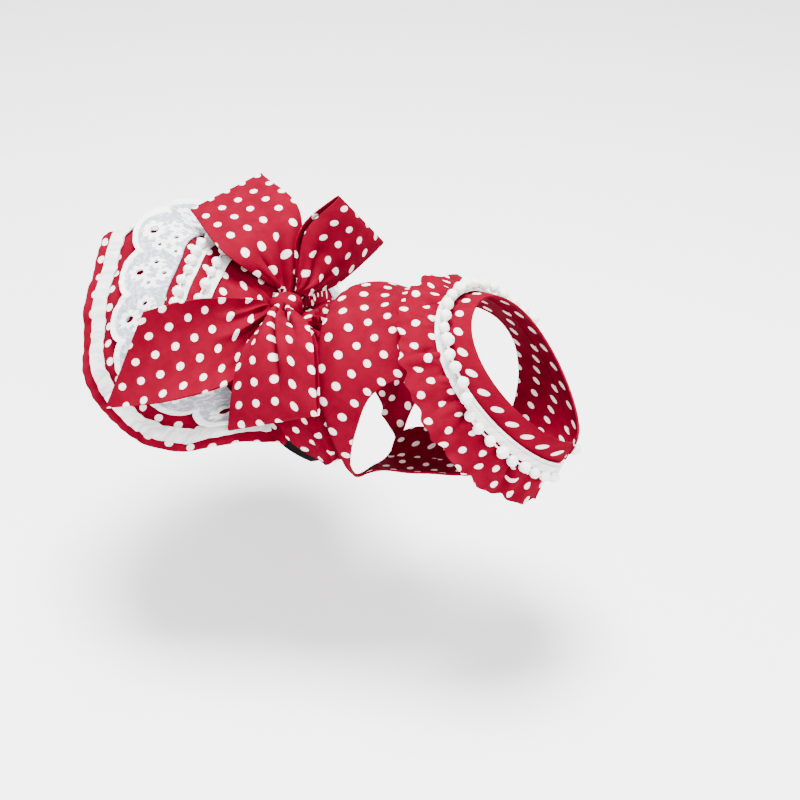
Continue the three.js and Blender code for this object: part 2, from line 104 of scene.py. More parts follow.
# The deep crease in front of the bow, steeper behind than in front
CREASE = {
    "start": -14,
    "sweep": 52,
    "sweep_turn": 140,
    "fade_share": 1.25,
    "spine": 12,
    "belly": 6,
    "fore": 12,
    "rear": 4,
    "overhang": 0.6,
    "overhang_width": 5,
    "valley_behind": 11,
    "valley_width": 6,
}
# Smaller folds behind the crease: how far behind it, how high, and where round the body they fade
SMALL_FOLDS = table(
    "behind height width from_turn to_turn",
    (16, 3.6, 2.2, 50, 118),
    (23, 2.6, 2, 70, 125),
)
# Creases that run from the bow's knot towards the front
KNOT_CREASES = {"along": -60, "turn": 6, "body": 52, "count": 13, "height": 3.2, "near": 11, "far": 44}

# Leg openings, seen from the side
CHEST_STRAP_HALF = 28
LEG_DEPTH = 80
LEG_CORNERS = 96
LEG_OUTLINE = table(
    "x z",
    (3, -113),
    (9, -82),
    (15.5, -54),
    (23, -31),
    (39, -17.5),
    (56, -20),
    (69, -33),
    (75, -52),
    (77, -72),
    (74, -92),
    (62, -108),
    (33, -117),
)

# Neck band, ruffle and trim
BAND = {"gap": 1, "height": 13, "inset": 7.5, "left_end": -176, "right_end": 166}
RUFFLE = table(
    "turn back out",
    (0, 18, 3),
    (55, 18, 5),
    (95, 21, 8),
    (140, 23, 12),
    (164, 22, 13),
)
RUFFLE_ROOT = {"out": 2.2, "along": -1.2}
RUFFLE_WAVES = {"count": 16, "height": 1.7, "frill": 0.8, "gathers": 0.8, "stand": 4.8, "pleats": 1.7}
# Pleats that start in the neck seam: where each lies at the seam and at the edge, how far it reaches
RUFFLE_PLEATS = table(
    "root edge reach depth width",
    (-150, -157, 0.7, 2.4, 2.6),
    (-126, -134, 0.9, 3, 2.6),
    (-103, -108, 0.6, 2.4, 2.4),
    (-82, -88, 0.8, 2.8, 2.6),
    (-58, -60, 0.6, 2.2, 2.4),
    (-34, -31, 0.95, 3, 2.6),
    (-12, -16, 0.7, 2.4, 2.4),
    (3, 20, 0.8, 2.6, 2.4),
    (24, 27, 0.5, 2, 2.2),
    (43.5, 48, 1.2, 4, 2.4),
    (60, 61, 0.5, 2.2, 2.2),
    (74, 80, 0.9, 3.4, 2.4),
    (82, 99, 0.85, 2.8, 2.4),
    (104, 108, 0.5, 2.4, 2.2),
    (123, 139, 1.2, 3.6, 2.6),
    (148, 154, 0.8, 2.6, 2.4),
)
NECK_TAPE = {"width": 5.6, "lift": 6.5, "lean": 4.2, "end_turn": 162}
POMPOM = {"radius": 3.7, "pitch": 9.8, "tufts": 140, "lumps": 5, "jitter": 0.4}
# The neck pompoms lie ahead of the tape at the nape and behind it at the throat, and cross over between
TRIM_FLIP = {"from": 66, "to": 100}
NECK_POMPOMS = {"nape_out": 6.6, "nape_tuck": 2, "side_sink": 0.6, "throat_sink": 1.6, "throat_tuck": 3.6}

# Skirt ribs from the waist seam to the hem, right side; the left side is their mirror, puffed higher
SKIRT_TURN = 78
SKIRT = table(
    "around hem_x hem_out hem_z rise_x rise_out rise_z fall_x fall_out fall_z",
    (0, -205, 0, 2, -11, 0, 45, 48, 0, 14),
    (0.176, -194.5, 39, -16, -11, 6, 46, 50, -7, 18),
    (0.313, -183, 66, -37, -11, 12, 46, 46, -9, 28),
    (0.41, -171.5, 83, -51, -11, 17, 43, 39, -12, 34),
    (0.515, -152, 95, -67, -11, 20, 37, 30, -14, 38),
    (0.64, -122, 102, -77, -9, 20, 27, 17, -12, 36),
    (0.763, -90, 100, -79, -7, 18, 14, 7, -11, 26),
    (0.847, -71, 91, -75, -5, 14, 6, 2, -9, 12),
    (0.92, -54, 76, -75.5, -3, 9, 2, -1, -8, 4),
    (1, -37, 60, -80.5, 2, 4, 0, 2, -4, 2),
)
LEFT_PUFF = {"rise": 12, "fall": 26}
FLUTE = {"waves": 9, "height": 1.4}
GATHERS = {"waves": 33, "height": 1.1, "reach": 0.16}
PUCKER = {"height": 0.7, "from": 0.82}

# Trims on the skirt, by their distance from the hem; each covers so many of the model's columns
SKIRT_COLUMNS = 54
HEM_TAPE = {"inner": 17, "outer": 6.5, "end": 52 / SKIRT_COLUMNS, "lift": 2.7}
# How much further from the hem the tape and lace lie at the back of the skirt
BACK_SHIFT = {"tape": 2.5, "lace": 1, "from": 0.66, "full": 0.42}
LACE = {
    "inner": 66,
    "tip": 26,
    "tip_share": 0.25,
    "scallop_depth": 8,
    "scallops": 11,
    "end": 48.4 / SKIRT_COLUMNS,
    "below_row": 11,
    "free_share": 0.66,
    "lift": 2,
    "flare": 3.3,
    "left_flare": 16,
}
ROW_TAPE_WIDTH = 6
SKIRT_POMPOM_SIZE = 0.92
TRIM_ROWS = table(
    "name from_waist end lift below pitch",
    ("outer", 0.48, 29 / SKIRT_COLUMNS, 1.1, 2.2, 8.6),
    ("inner", 0.365, 27 / SKIRT_COLUMNS, 2.1, 3, 11.4),
)

KNOT = {"x": -64, "y": -7, "z": -14.4, "long": 20, "across": 20, "thick": 16}
LOOP_NEAR = bow_lobe(
    "bow_loop_near",
    a=((-63, -18.1, -8.5), (-60, -72, -23), (-61, -88, -61)),
    b=((-55, -18.1, -11), (-17, -56, 1), (0, -82, -36)),
    puff=11,
)
LOOP_FAR = bow_lobe(
    "bow_loop_far",
    a=((-62, 4.1, -8), (-64, 18, 28), (-53, 47, 43)),
    b=((-55, 4.1, -11), (-53, 40, -17), (-40, 85, -4)),
    puff=10,
)
TAIL_NEAR = bow_lobe(
    "bow_tail_near",
    a=((-73, -17.4, -7), (-90, -46, 4), (-101, -71, 11), (-118, -87, 8)),
    b=((-65, -17.4, -18), (-61, -71, -31), (-87, -103, -37), (-134, -114, -51)),
    folds=1.5,
    fold_height=3,
    bulge=9,
)
TAIL_FAR = bow_lobe(
    "bow_tail_far",
    a=((-73, 3.7, -9), (-101, -15, 18), (-149, 18, 26)),
    b=((-67, 3.7, -18.5), (-78, 40, 28), (-128, 76, 33)),
    folds=1.5,
    fold_height=3,
)

# Pleats pressed into the lobes: where each starts at the knot and ends, across the lobe
PLEATS = {
    "bow_loop_near": table(
        "start end reach depth width",
        (0.44, 0.64, 0.9, 8.5, 0.035),
        (0.64, 0.88, 0.6, 4.2, 0.045),
        (0.25, 0.14, 0.42, 3, 0.05),
        (0.86, 0.97, 0.35, 2.4, 0.05),
        (0.6, 0.52, 0.3, 2.6, 0.04),
    ),
    "bow_loop_far": table(
        "start end reach depth width",
        (0.4, 0.3, 0.62, 3.6, 0.055),
        (0.68, 0.74, 0.85, 4, 0.05),
        (0.14, 0.08, 0.4, 2.6, 0.06),
    ),
    "bow_tail_near": table(
        "start end reach depth width",
        (0.55, 0.4, 0.5, 3.2, 0.055),
        (0.82, 0.76, 0.42, 3, 0.05),
        (0.25, 0.2, 0.42, 2.6, 0.05),
        (0.68, 0.6, 0.3, 2, 0.05),
    ),
    "bow_tail_far": table(
        "start end reach depth width",
        (0.35, 0.3, 0.55, 3.2, 0.05),
        (0.7, 0.6, 0.75, 3.2, 0.07),
        (0.15, 0.12, 0.35, 2.4, 0.05),
    ),
}

PLAIN = layout()
PRINT = {
    "bodice": layout((0.5, 1), (-0.0335, 0.0702), (0.0668, 0.0319), (0.79, 0.43)),
    "band": layout((0.5, 0.5), (0.0746, 0), (0, 0.0746), (0.13, 0.5)),
    "ruffle": layout(
        (0.5, 0), (-0.048, 0.0593), (0.0593, 0.048), (0.6, 0.75), gathered=(-1, 0), ends=(0.3, 0.55)
    ),
    "skirt": layout(
        (0.5, 0.86), (0.0755, 0.005), (-0.005, 0.0755), gathered=(0.45, 0.75), ends=(0.3, 0.55)
    ),
    "bow_loop_near": layout((0.5, 0), (0.0744, -0.0092), (0.0073, -0.0744), (0.43, 0.4)),
    "bow_loop_far": layout((0.5, 0), (-0.0151, 0.0713), (0.0713, 0.0151), (0.34, 0.99)),
    "bow_tail_near": layout((0.5, 1), (-0.0523, 0.0644), (-0.0749, -0.0174), (0.01, 0.2)),
    "bow_tail_far": layout((0.5, 1), (0.0738, -0.0012), (0.0094, -0.061), (0.52, 0.51)),
    "knot": layout((0.25, 0.5), shift=(0.88, 0.5)),
}

LABEL = {"turn": 112, "half_turn": 13, "hang": 8, "thick": 1.2}
PLACKET = {"half_turn": 11, "from": -60, "to": 26, "lift": 2.1, "thick": 1.2}


def lerp(a, b, t):
    return a + (b - a) * t


def smooth(start, end, value):
    t = np.clip((value - start) / (end - start), 0, 1)
    return t * t * (3 - 2 * t)


def bell(off):
    return np.exp(-(off**2))


def signed_power(value, power):
    return np.sign(value) * np.abs(value) ** power


def unit(vectors):
    return vectors / np.linalg.norm(vectors, axis=-1, keepdims=True)


def column(values):
    """An array with one more axis, to scale vectors with."""
    return np.asarray(values, float)[..., None]


def row_at(rows, key, value):
    """A row of a table at any value of its key column, by smooth curves through the rows."""
    keys = np.array([row[key] for row in rows], float)
    value = np.clip(value, keys[0], keys[-1])
    i = np.clip(np.searchsorted(keys, value, side="right") - 1, 0, len(keys) - 2)
    before = np.maximum(i - 1, 0)
    after = np.minimum(i + 2, len(keys) - 1)
    span = keys[i + 1] - keys[i]
    t = (value - keys[i]) / span
    made = {}
    for name in rows[0]:
        c = np.array([row[name] for row in rows], float)
        slope_a = (c[i + 1] - c[before]) / (keys[i + 1] - keys[before]) * span
        slope_b = (c[after] - c[i]) / (keys[after] - keys[i]) * span
        made[name] = (
            (2 * t**3 - 3 * t**2 + 1) * c[i]
            + (t**3 - 2 * t**2 + t) * slope_a
            + (3 * t**2 - 2 * t**3) * c[i + 1]
            + (t**3 - t**2) * slope_b
        )
    return made


def curve_through(points, t, closed=False):
    """Points on a smooth curve through the given ones, spaced by the square root of their distance."""
    points = np.array(points, float)
    count = len(points)
    place = np.asarray(t, float) * (count if closed else count - 1)
    i = np.clip(np.floor(place).astype(int), 0, (count if closed else count - 1) - 1)
    w = column(place - i)
    if closed:
        p0, p1, p2, p3 = (points[(i + k) % count] for k in (-1, 0, 1, 2))
    else:
        ends = np.vstack([2 * points[0] - points[1], points, 2 * points[-1] - points[-2]])
        p0, p1, p2, p3 = (ends[i + k] for k in (0, 1, 2, 3))
    steps = (p1 - p0, p2 - p1, p3 - p2)
    d0, d1, d2 = (np.sqrt(np.linalg.norm(step, axis=-1, keepdims=True)) for step in steps)
    t1 = ((p1 - p0) / d0 - (p2 - p0) / (d0 + d1) + (p2 - p1) / d1) * d1
    t2 = ((p2 - p1) / d1 - (p3 - p1) / (d1 + d2) + (p3 - p2) / d2) * d1
    return p1 + t1 * w + (3 * (p2 - p1) - 2 * t1 - t2) * w**2 + (2 * (p1 - p2) + t1 + t2) * w**3


def normal_of(point_at, i, j, step=2e-3):
    du = point_at(i + step, j) - point_at(i - step, j)
    dv = point_at(i, j + step) - point_at(i, j - step)
    return unit(np.cross(du, dv))


def ripples(where, seed, waves=6, lowest=2):
    """A smooth uneven wave between about -1 and 1, the same on every run."""
    random = np.random.default_rng(seed)
    total = 0
    for k in range(waves):
        place = (lowest + k) * where * (0.8 + 0.4 * random.random())
        total = total + np.sin(2 * np.pi * (place + random.random()))
    return total / np.sqrt(waves) / 1.2


# Bodice shapes


def rear_edge(turn):
    return WAIST_ALONG - WAIST_DIP * np.sin(turn) ** 2


def crease_line(turn):
    share = np.abs(turn) / np.radians(CREASE["sweep_turn"])
    return CREASE["start"] - CREASE["sweep"] * share**2


def crease_size(turn):
    share = np.abs(turn) / np.radians(CREASE["sweep_turn"])
    fade = 1 - smooth(1, CREASE["fade_share"], share)
    return lerp(CREASE["spine"], CREASE["belly"], np.minimum(share, 1)) * fade


def crease_height(along, turn):
    behind = crease_line(turn) - along
    width = np.where(behind < 0, CREASE["fore"], CREASE["rear"])
    valley = bell((behind - CREASE["valley_behind"]) / CREASE["valley_width"])
    height = crease_size(turn) * (bell(behind / width) - valley)
    degrees = np.degrees(turn)
    for fold in SMALL_FOLDS:
        rise = smooth(fold["from_turn"], fold["from_turn"] + 18, degrees)
        fade = rise * smooth(fold["to_turn"] + 14, fold["to_turn"], degrees)
        height = height + fold["height"] * fade * bell((behind - fold["behind"]) / fold["width"])
    return height


def knot_creases(along, turn):
    """Sharp-crested waves that spread from the knot and end at the deep crease."""
    near, far = KNOT_CREASES["near"], KNOT_CREASES["far"]
    ahead = along - KNOT_CREASES["along"]
    round_body = KNOT_CREASES["body"] * (turn - np.radians(KNOT_CREASES["turn"]))
    reach = np.hypot(ahead, round_body)
    fade = smooth(near, near + 8, reach) * smooth(far, 0.6 * far, reach)
    before_crease = smooth(4, 14, crease_line(turn) - along)
    spread = np.arctan2(round_body, ahead)
    wave = np.sin(KNOT_CREASES["count"] * spread + 1.3 * np.sin(3 * spread))
    return KNOT_CREASES["height"] * fade * before_crease * (1 - 2 * np.abs(wave) ** 0.6)


def torso_point(along, turn, out=0.0):
    """A point on the tube's inner face, raised by out. turn is 0 at the spine and positive on the right."""
    section = row_at(TORSO, "along", along)
    high = (section["back"] - section["belly"]) / 2
    middle = (section["back"] + section["belly"]) / 2
    outward = unit(RISE * column(np.cos(turn) * section["half"]) + NEARER * column(np.sin(turn) * high))
    return (
        FORE * column(along)
        + RISE * column(middle + high * np.cos(turn))
        + NEARER * column(section["half"] * np.sin(turn) * (1 + section["egg"] * np.cos(turn)))
        + outward * column(out)
    )


def smooth_bodice_point(i, j):
    turn = (2 * i - 1) * np.pi
    return torso_point(lerp(rear_edge(turn), NECKLINE, j), turn, 0.5)


def bodice_point(i, j, knotted=1):
    """The bodice with its folds; knotted at 0 leaves out the creases round the knot."""
    turn = (2 * i - 1) * np.pi
    along = lerp(rear_edge(turn), NECKLINE, j)
    soft = 0.5 * ripples(i * 3 + 0.6 * j, 3) * np.sin(np.pi * np.clip(j, 0, 1))
    near_crease = bell((along - crease_line(turn)) / CREASE["overhang_width"])
    overhang = CREASE["overhang"] * crease_size(turn) * near_crease
    height = crease_height(along, turn) + knotted * knot_creases(along, turn) + soft + 0.5
    return torso_point(along, turn, height) - FORE * column(overhang)


# Neck shapes


def neck_point(turn, out, ahead):
    return torso_point(np.full_like(turn, NECKLINE), turn, out) + FORE * column(ahead)


def neck_band_point(i, j):
    turn = np.radians(lerp(BAND["left_end"], BAND["right_end"], i))
    inset = BAND["inset"] * np.maximum(j, 0) ** 1.5
    return neck_point(turn, -inset, BAND["gap"] + BAND["height"] * j)


def ruffle_point(i, j):
    end = RUFFLE[-1]["turn"]
    turn = (2 * i - 1) * end
    row = row_at(RUFFLE, "turn", np.abs(turn))
    share = np.maximum(1 - j, 0) ** 1.3
    phase = turn / end * RUFFLE_WAVES["count"] * np.pi
    wave = RUFFLE_WAVES["height"] * share**1.3 * np.sin(phase + 0.8 * np.sin(0.37 * phase))
    gathers = RUFFLE_WAVES["gathers"] * np.sin(3.1 * phase + 1.7 * np.sin(0.9 * phase))
    gathers = gathers * smooth(0, 0.06, share) * smooth(0.45, 0.1, share)
    pleats = 0
    for pleat in RUFFLE_PLEATS:
        off = (turn - lerp(pleat["root"], pleat["edge"], share)) / pleat["width"]
        fade = smooth(pleat["reach"], 0.35 * pleat["reach"], share) * smooth(0, 0.12, share)
        fold = 0.6 * bell((off - 1.6) / 1.5) - bell(off)
        pleats = pleats + RUFFLE_WAVES["pleats"] * pleat["depth"] * fade * fold
    back = (row["back"] + RUFFLE_WAVES["frill"] * np.cos(2 * phase)) * share
    stand = RUFFLE_WAVES["stand"] * smooth(0, 0.5, share)
    out = RUFFLE_ROOT["out"] + (row["out"] + stand) * share**1.6
    out = np.maximum(out + wave + gathers + pleats, RUFFLE_ROOT["out"] - 0.6)
    return torso_point(NECKLINE + RUFFLE_ROOT["along"] - back, np.radians(turn), out)


def neck_tape_point(i, j):
    """The tape rests on the ruffle's pleats behind and leans onto the band in front."""
    turn = np.radians((2 * i - 1) * NECK_TAPE["end_turn"])
    lift = NECK_TAPE["lift"] - NECK_TAPE["lean"] * np.maximum(j, 0) ** 1.6
    return neck_point(turn, lift, (j - 0.5) * NECK_TAPE["width"])


def neck_pompom_path(i):
    turn = (2 * i - 1) * NECK_TAPE["end_turn"]
    flip = smooth(TRIM_FLIP["from"], TRIM_FLIP["to"], np.abs(turn))
    over = NECK_TAPE["lift"] + TAPE_CLOTH + POMPOM["radius"] + SEAM_GAP
    reach = NECK_TAPE["width"] / 2 + POMPOM["radius"] + SEAM_GAP
    out = lerp(NECK_POMPOMS["nape_out"], over - NECK_POMPOMS["side_sink"], smooth(0, 0.3, flip))
    out = out - NECK_POMPOMS["throat_sink"] * smooth(0.6, 1, flip)
    nape, throat = reach - NECK_POMPOMS["nape_tuck"], NECK_POMPOMS["throat_tuck"] - reach
    return neck_point(np.radians(turn), out, lerp(nape, throat, smooth(0.1, 0.9, flip)))


# Skirt shapes


def left_rib(row):
    share = np.sin(row["around"] * np.pi)
    mirrored = ("around", "hem_out", "rise_out", "fall_out")
    made = {name: -row[name] if name in mirrored else row[name] for name in row}
    made["rise_z"] += LEFT_PUFF["rise"] * share
    made["fall_z"] += LEFT_PUFF["fall"] * share
    return made


RIBS = [left_rib(row) for row in reversed(SKIRT[1:])] + SKIRT


def from_row(row, part):
    return np.stack([row[part + "_x"], -row[part + "_out"], row[part + "_z"]], axis=-1)


def rib_point(around, t):
    """A point on the skirt without its gathers; t runs from the waist to the hem."""
    around, t = np.broadcast_arrays(np.asarray(around, float), np.asarray(t, float))
    row = row_at(RIBS, "around", around)
    turn = around * np.radians(SKIRT_TURN)
    waist = torso_point(rear_edge(turn) - COTTON - SEAM_GAP, turn)
    hem = from_row(row, "hem")
    rise = waist + from_row(row, "rise")
    fall = hem + from_row(row, "fall")
    s = column(t)
    return (1 - s) ** 3 * waist + 3 * (1 - s) ** 2 * s * rise + 3 * (1 - s) * s**2 * fall + s**3 * hem


def lengths_from_hem(around, steps=24):
    points = rib_point(np.asarray(around, float)[..., None], np.linspace(1, 0, steps + 1))
    gaps = np.linalg.norm(np.diff(points, axis=-2), axis=-1)
    return np.concatenate([np.zeros(gaps.shape[:-1] + (1,)), np.cumsum(gaps, axis=-1)], axis=-1)


def rib_length(around):
    return lengths_from_hem(around)[..., -1]


def at_from_hem(around, distance):
    """Where a rib has a given distance from the hem."""
    lengths = lengths_from_hem(around)
    steps = lengths.shape[-1] - 1
    k = (lengths[..., 1:-1] < np.asarray(distance)[..., None]).sum(-1)[..., None]
    near = np.take_along_axis(lengths, k, -1)[..., 0]
    far = np.take_along_axis(lengths, k + 1, -1)[..., 0]
    return 1 - (k[..., 0] + (distance - near) / (far - near)) / steps


def fluted_point(around, t):
    normal = normal_of(rib_point, around, t)
    flute = FLUTE["height"] * np.maximum(t, 0) ** 1.5 * np.cos(around * FLUTE["waves"] * np.pi)
    gather = GATHERS["height"] * np.exp(-np.maximum(t, 0) / GATHERS["reach"])
    gather = gather * np.sin(around * GATHERS["waves"] * np.pi + 2 * np.sin(7 * around))
    pucker = PUCKER["height"] * smooth(PUCKER["from"], 1, t) * ripples(around * 4, 11)
    return rib_point(around, t) - normal * column(flute + gather + pucker)


def skirt_point(around, t, lift=0.0):
    normal = normal_of(fluted_point, np.clip(around, -0.995, 0.995), np.clip(t, 0.005, 0.995))
    return fluted_point(around, t) - normal * column(lift)


def on_skirt(around, from_hem, lift=0.0):
    return skirt_point(around, at_from_hem(around, from_hem), lift)


def strip_on_skirt(end, inner_at, outer_at, lift_at):
    def place(i, j):
        around = (2 * i - 1) * end
        distance = lerp(inner_at(around), outer_at(around), j)
        return on_skirt(around, distance, lift_at(j, around))

    return place


def back_shift(name, around):
    return BACK_SHIFT[name] * smooth(BACK_SHIFT["from"], BACK_SHIFT["full"], np.abs(around))


def lace_tip(around):
    return np.minimum(LACE["tip"], LACE["tip_share"] * rib_length(around)) + back_shift("lace", around)


def lace_outer(around):
    share = np.abs(np.sin((around / LACE["end"] + 1) / 2 * LACE["scallops"] * np.pi))
    return lace_tip(around) + LACE["scallop_depth"] * (1 - share**0.7)


def lace_inner(around):
    row = TRIM_ROWS[0]
    length = rib_length(around)
    clear = (1 - row["from_waist"]) * length - LACE["below_row"]
    free = smooth(row["end"], row["end"] + 0.1, np.abs(around))
    return np.minimum(LACE["inner"], lerp(clear, LACE["free_share"] * length, free))


def lace_lift(j, around):
    left = smooth(0.05, -0.15, around) * smooth(-0.85, -0.5, around)
    return LACE["lift"] + (LACE["flare"] + LACE["left_flare"] * left) * j**2


def row_middle(row, around):
    return rib_length(around) * (1 - row["from_waist"])


def row_pompom_path(row):
    def path(i):
        around = (2 * i - 1) * row["end"]
        distance = row_middle(row, around) - row["below"]
        return on_skirt(around, distance, row["lift"] + TAPE_CLOTH + 0.85 * POMPOM["radius"])

    return path


# Bow shapes


def lobe_point(lobe, u, v):
    along = np.clip(v, 0, 1)
    a, b = (curve_through(lobe[edge], along) for edge in "ab")
    return lerp(a, b, column(u))


def pleat_depth(lobe, u, v):
    total = 0
    for pleat in PLEATS[lobe["name"]]:
        middle = lerp(pleat["start"], pleat["end"], v / pleat["reach"])
        fade = 1 - smooth(0.35 * pleat["reach"], pleat["reach"], v)
        off = (u - middle) / pleat["width"]
        total = total + pleat["depth"] * fade * (bell(off) - 0.45 * bell((off - 2.2) / 1.6))
    return total * smooth(0, 0.06, v)


def lobe_normal(lobe, u, v):
    return normal_of(lambda a, b: lobe_point(lobe, a, b), u, np.clip(v, 3e-3, 1 - 3e-3))


def lobe_at(lobe, u, v, side=1, pleated=1):
    """A point on a lobe with its folds; pleated at 0 leaves out the pleats."""
    fade = np.maximum(1 - v, 0) ** 1.2 * smooth(0, 0.15, v)
    fold = lobe["fold_height"] * np.sin(u * lobe["folds"] * 2 * np.pi) * fade
    bulge = lobe["bulge"] * np.sin(np.pi * u) * np.sin(np.pi * v)
    height = fold + bulge - pleated * side * pleat_depth(lobe, u, v)
    return lobe_point(lobe, u, v) + lobe_normal(lobe, u, v) * column(height)


def loop_point(lobe, pleated=1):
    def place(i, j):
        v = (1 - np.cos(2 * np.pi * j)) / 2
        swing = np.sin(2 * np.pi * j)
        height = lobe["puff"] / 2 * signed_power(swing, 0.85) + 1.5 * np.cos(np.pi * j)
        side = np.sign(swing) * np.minimum(1, 3 * np.abs(swing))
        pinch = 1 - 0.65 * np.abs(2 * i - 1) ** 3
        return lobe_at(lobe, i, v, side, pleated) + lobe_normal(lobe, i, v) * column(height * pinch)

    return place


def tail_point(lobe, pleated=1):
    def place(i, j):
        return lobe_at(lobe, i, j, 1, pleated) - lobe_normal(lobe, i, j) * BOW_CLOTH / 2

    return place


# Making meshes


def select_only(piece):
    bpy.ops.object.select_all(action="DESELECT")
    piece.select_set(True)
    bpy.context.view_layer.objects.active = piece


def apply(piece, kind, **settings):
    """Adds a modifier and applies it."""
    select_only(piece)
    modifier = piece.modifiers.new(kind.lower(), kind)
    for name, value in settings.items():
        setattr(modifier, name, value)
    bpy.ops.object.modifier_apply(modifier=modifier.name)


def in_edit_mode(piece, *steps):
    select_only(piece)
    bpy.ops.object.mode_set(mode="EDIT")
    bpy.ops.mesh.select_all(action="SELECT")
    for step in steps:
        step()
    bpy.ops.object.mode_set(mode="OBJECT")


def join_doubles():
    bpy.ops.mesh.remove_doubles(threshold=1e-6)


def shade(piece, degrees=50):
    select_only(piece)
    bpy.ops.object.shade_smooth_by_angle(angle=np.radians(degrees))


def positions(mesh):
    co = np.empty(len(mesh.vertices) * 3)
    mesh.vertices.foreach_get("co", co)
    return co.reshape(-1, 3)


def set_positions(mesh, points):
    mesh.vertices.foreach_set("co", np.asarray(points, float).ravel())
    mesh.update()


def set_cut(mesh, flat):
    """Writes the place of each vertex in the flat cloth, in metres, as the UV map called cut."""
    layer = mesh.uv_layers[0] if mesh.uv_layers else mesh.uv_layers.new()
    layer.name = "cut"
    corners = np.empty(len(mesh.loops), int)
    mesh.loops.foreach_get("vertex_index", corners)
    layer.uv.foreach_set("vector", (np.asarray(flat)[corners] * MM).ravel())


def lengths(points, axis):
    """Running lengths along one axis of a grid of points."""
    steps = np.cumsum(np.linalg.norm(np.diff(points, axis=axis), axis=-1), axis=axis)
    return np.insert(steps, 0, 0, axis=axis)


def on_print(laid, even, pressed):
    """Where each point of a grid lies on the print, in parts of its pitch.

    Lengths across are taken on one grid and lengths down on another, both without the sharpest folds.
    Gathered cloth takes its lengths across more and more from the anchor's row, between two shares of its
    depth, and sooner towards its two ends.
    """
    rows, columns = even.shape[:2]
    middle = round(laid["anchor"][0] * (columns - 1))
    row = round(laid["anchor"][1] * (rows - 1))
    across = lengths(even, 1)
    across = across - across[:, middle : middle + 1]
    if "gathered" in laid:
        share = smooth(*laid["gathered"], np.linspace(0, 1, rows))[:, None]
        ends = smooth(*laid["ends"], np.abs(np.linspace(-1, 1, columns)))
        across = lerp(across, across[row : row + 1], np.maximum(share, ends))
    down = lengths(pressed, 0)
    down = down - down[row : row + 1]
    moved = column(across) * np.array(laid["across"]) + column(down) * np.array(laid["down"])
    return moved + np.array(laid["shift"])


def cloth(name, place, size, thick, laid=PLAIN, even=None, pressed=None, inward=False, wraps=False):
    """A sheet laid on place(i, j) in size columns and rows, with its flat cut kept, then given its wall.

    even and pressed are the same place with fewer folds, for its lengths across and down.
    """
    columns, rows = size
    bpy.ops.object.select_all(action="DESELECT")
    bpy.ops.mesh.primitive_grid_add(x_subdivisions=columns, y_subdivisions=rows, size=1)
    piece = bpy.context.object
    piece.name = piece.data.name = name
    start = positions(piece.data)
    i, j = start[:, 0] + 0.5, start[:, 1] + 0.5
    grid = np.empty((rows + 1, columns + 1), int)
    grid[np.rint(j * rows).astype(int), np.rint(i * columns).astype(int)] = np.arange(len(start))
    points = place(i, j)
    set_positions(piece.data, points * MM)
    flat = np.empty((len(points), 2))
    flat[grid] = on_print(laid, (even or place)(i, j)[grid], (pressed or place)(i, j)[grid])
    set_cut(piece.data, flat * DOT_PITCH)
    if wraps:
        in_edit_mode(piece, join_doubles)
    if inward:
        in_edit_mode(piece, bpy.ops.mesh.flip_normals)
    if thick:
        apply(piece, "SOLIDIFY", thickness=thick * MM, offset=1)
    shade(piece)
    return piece


def joined(name, template, centres, turns, scales, first):
    """One mesh of some first points and faces, and many copies of a template at the centres."""
    base = positions(template.data)
    faces = [tuple(p.vertices) for p in template.data.polygons]
    all_points = [first[0] * MM]
    all_faces = list(first[1])
    for k, (centre, turn, scale) in enumerate(zip(centres, turns, scales)):
        start = len(first[0]) + k * len(base)
        all_points.append((base * scale) @ np.array(turn.to_3x3()).T + np.asarray(centre) * MM)
        all_faces += [tuple(v + start for v in face) for face in faces]
    mesh = bpy.data.meshes.new(name)
    mesh.from_pydata(np.vstack(all_points).tolist(), [], all_faces)
    piece = bpy.data.objects.new(name, mesh)
    bpy.context.collection.objects.link(piece)
    return piece


def discard(piece):
    bpy.data.objects.remove(piece, do_unlink=True)


# Materials

RED = (0.135, 0.0001, 0.0105, 1)
RED_DEEP = (0.08, 0.0001, 0.005, 1)
DOT_WHITE = (0.85, 0.73, 0.70, 1)
COTTON_WHITE = (0.84, 0.84, 0.82, 1)
COTTON_SHADOW = (0.40, 0.37, 0.41, 1)
STITCH_HOLE = (0.25, 0.10, 0.11, 1)
LAWN_WHITE = (0.33, 0.34, 0.41, 1)
LAWN_WORKED = (0.53, 0.54, 0.60, 1)
THREAD_WHITE = (0.88, 0.89, 0.90, 1)
YARN_WHITE = (0.9, 0.9, 0.88, 1)
YARN_SHADOW = (0.62, 0.6, 0.6, 1)
SATIN_BLACK = (0.001, 0.001, 0.0012, 1)
SATIN_WORN = (0.003, 0.003, 0.0035, 1)
PAPER_WHITE = (0.93, 0.93, 0.93, 1)
PAPER_GREY = (0.9, 0.9, 0.9, 1)


def feed(tree, socket, value):
    """Links a socket to another one, or gives it a value."""
    if isinstance(value, bpy.types.NodeSocket):
        tree.links.new(value, socket)
    elif value is not None:
        socket.default_value = value


def new_node(tree, kind, inputs=(), **settings):
    """A node with its settings, and its inputs as pairs of a name or number and a value."""
    node = tree.nodes.new(kind)
    for name, value in settings.items():
        setattr(node, name, value)
    for key, value in inputs:
        feed(tree, node.inputs[key], value)
    return node


def math(tree, operation, *inputs):
    return new_node(tree, "ShaderNodeMath", enumerate(inputs), operation=operation).outputs[0]


def vector_math(tree, operation, *inputs):
    return new_node(tree, "ShaderNodeVectorMath", enumerate(inputs), operation=operation).outputs[0]


def mixed(tree, share, first, second):
    """A colour between two, by share."""
    node = new_node(tree, "ShaderNodeMix", data_type="RGBA")
    sockets = {socket.identifier: socket for socket in node.inputs}
    for name, value in (("Factor_Float", share), ("A_Color", first), ("B_Color", second)):
        feed(tree, sockets[name], value)
    return next(socket for socket in node.outputs if socket.identifier == "Result_Color")


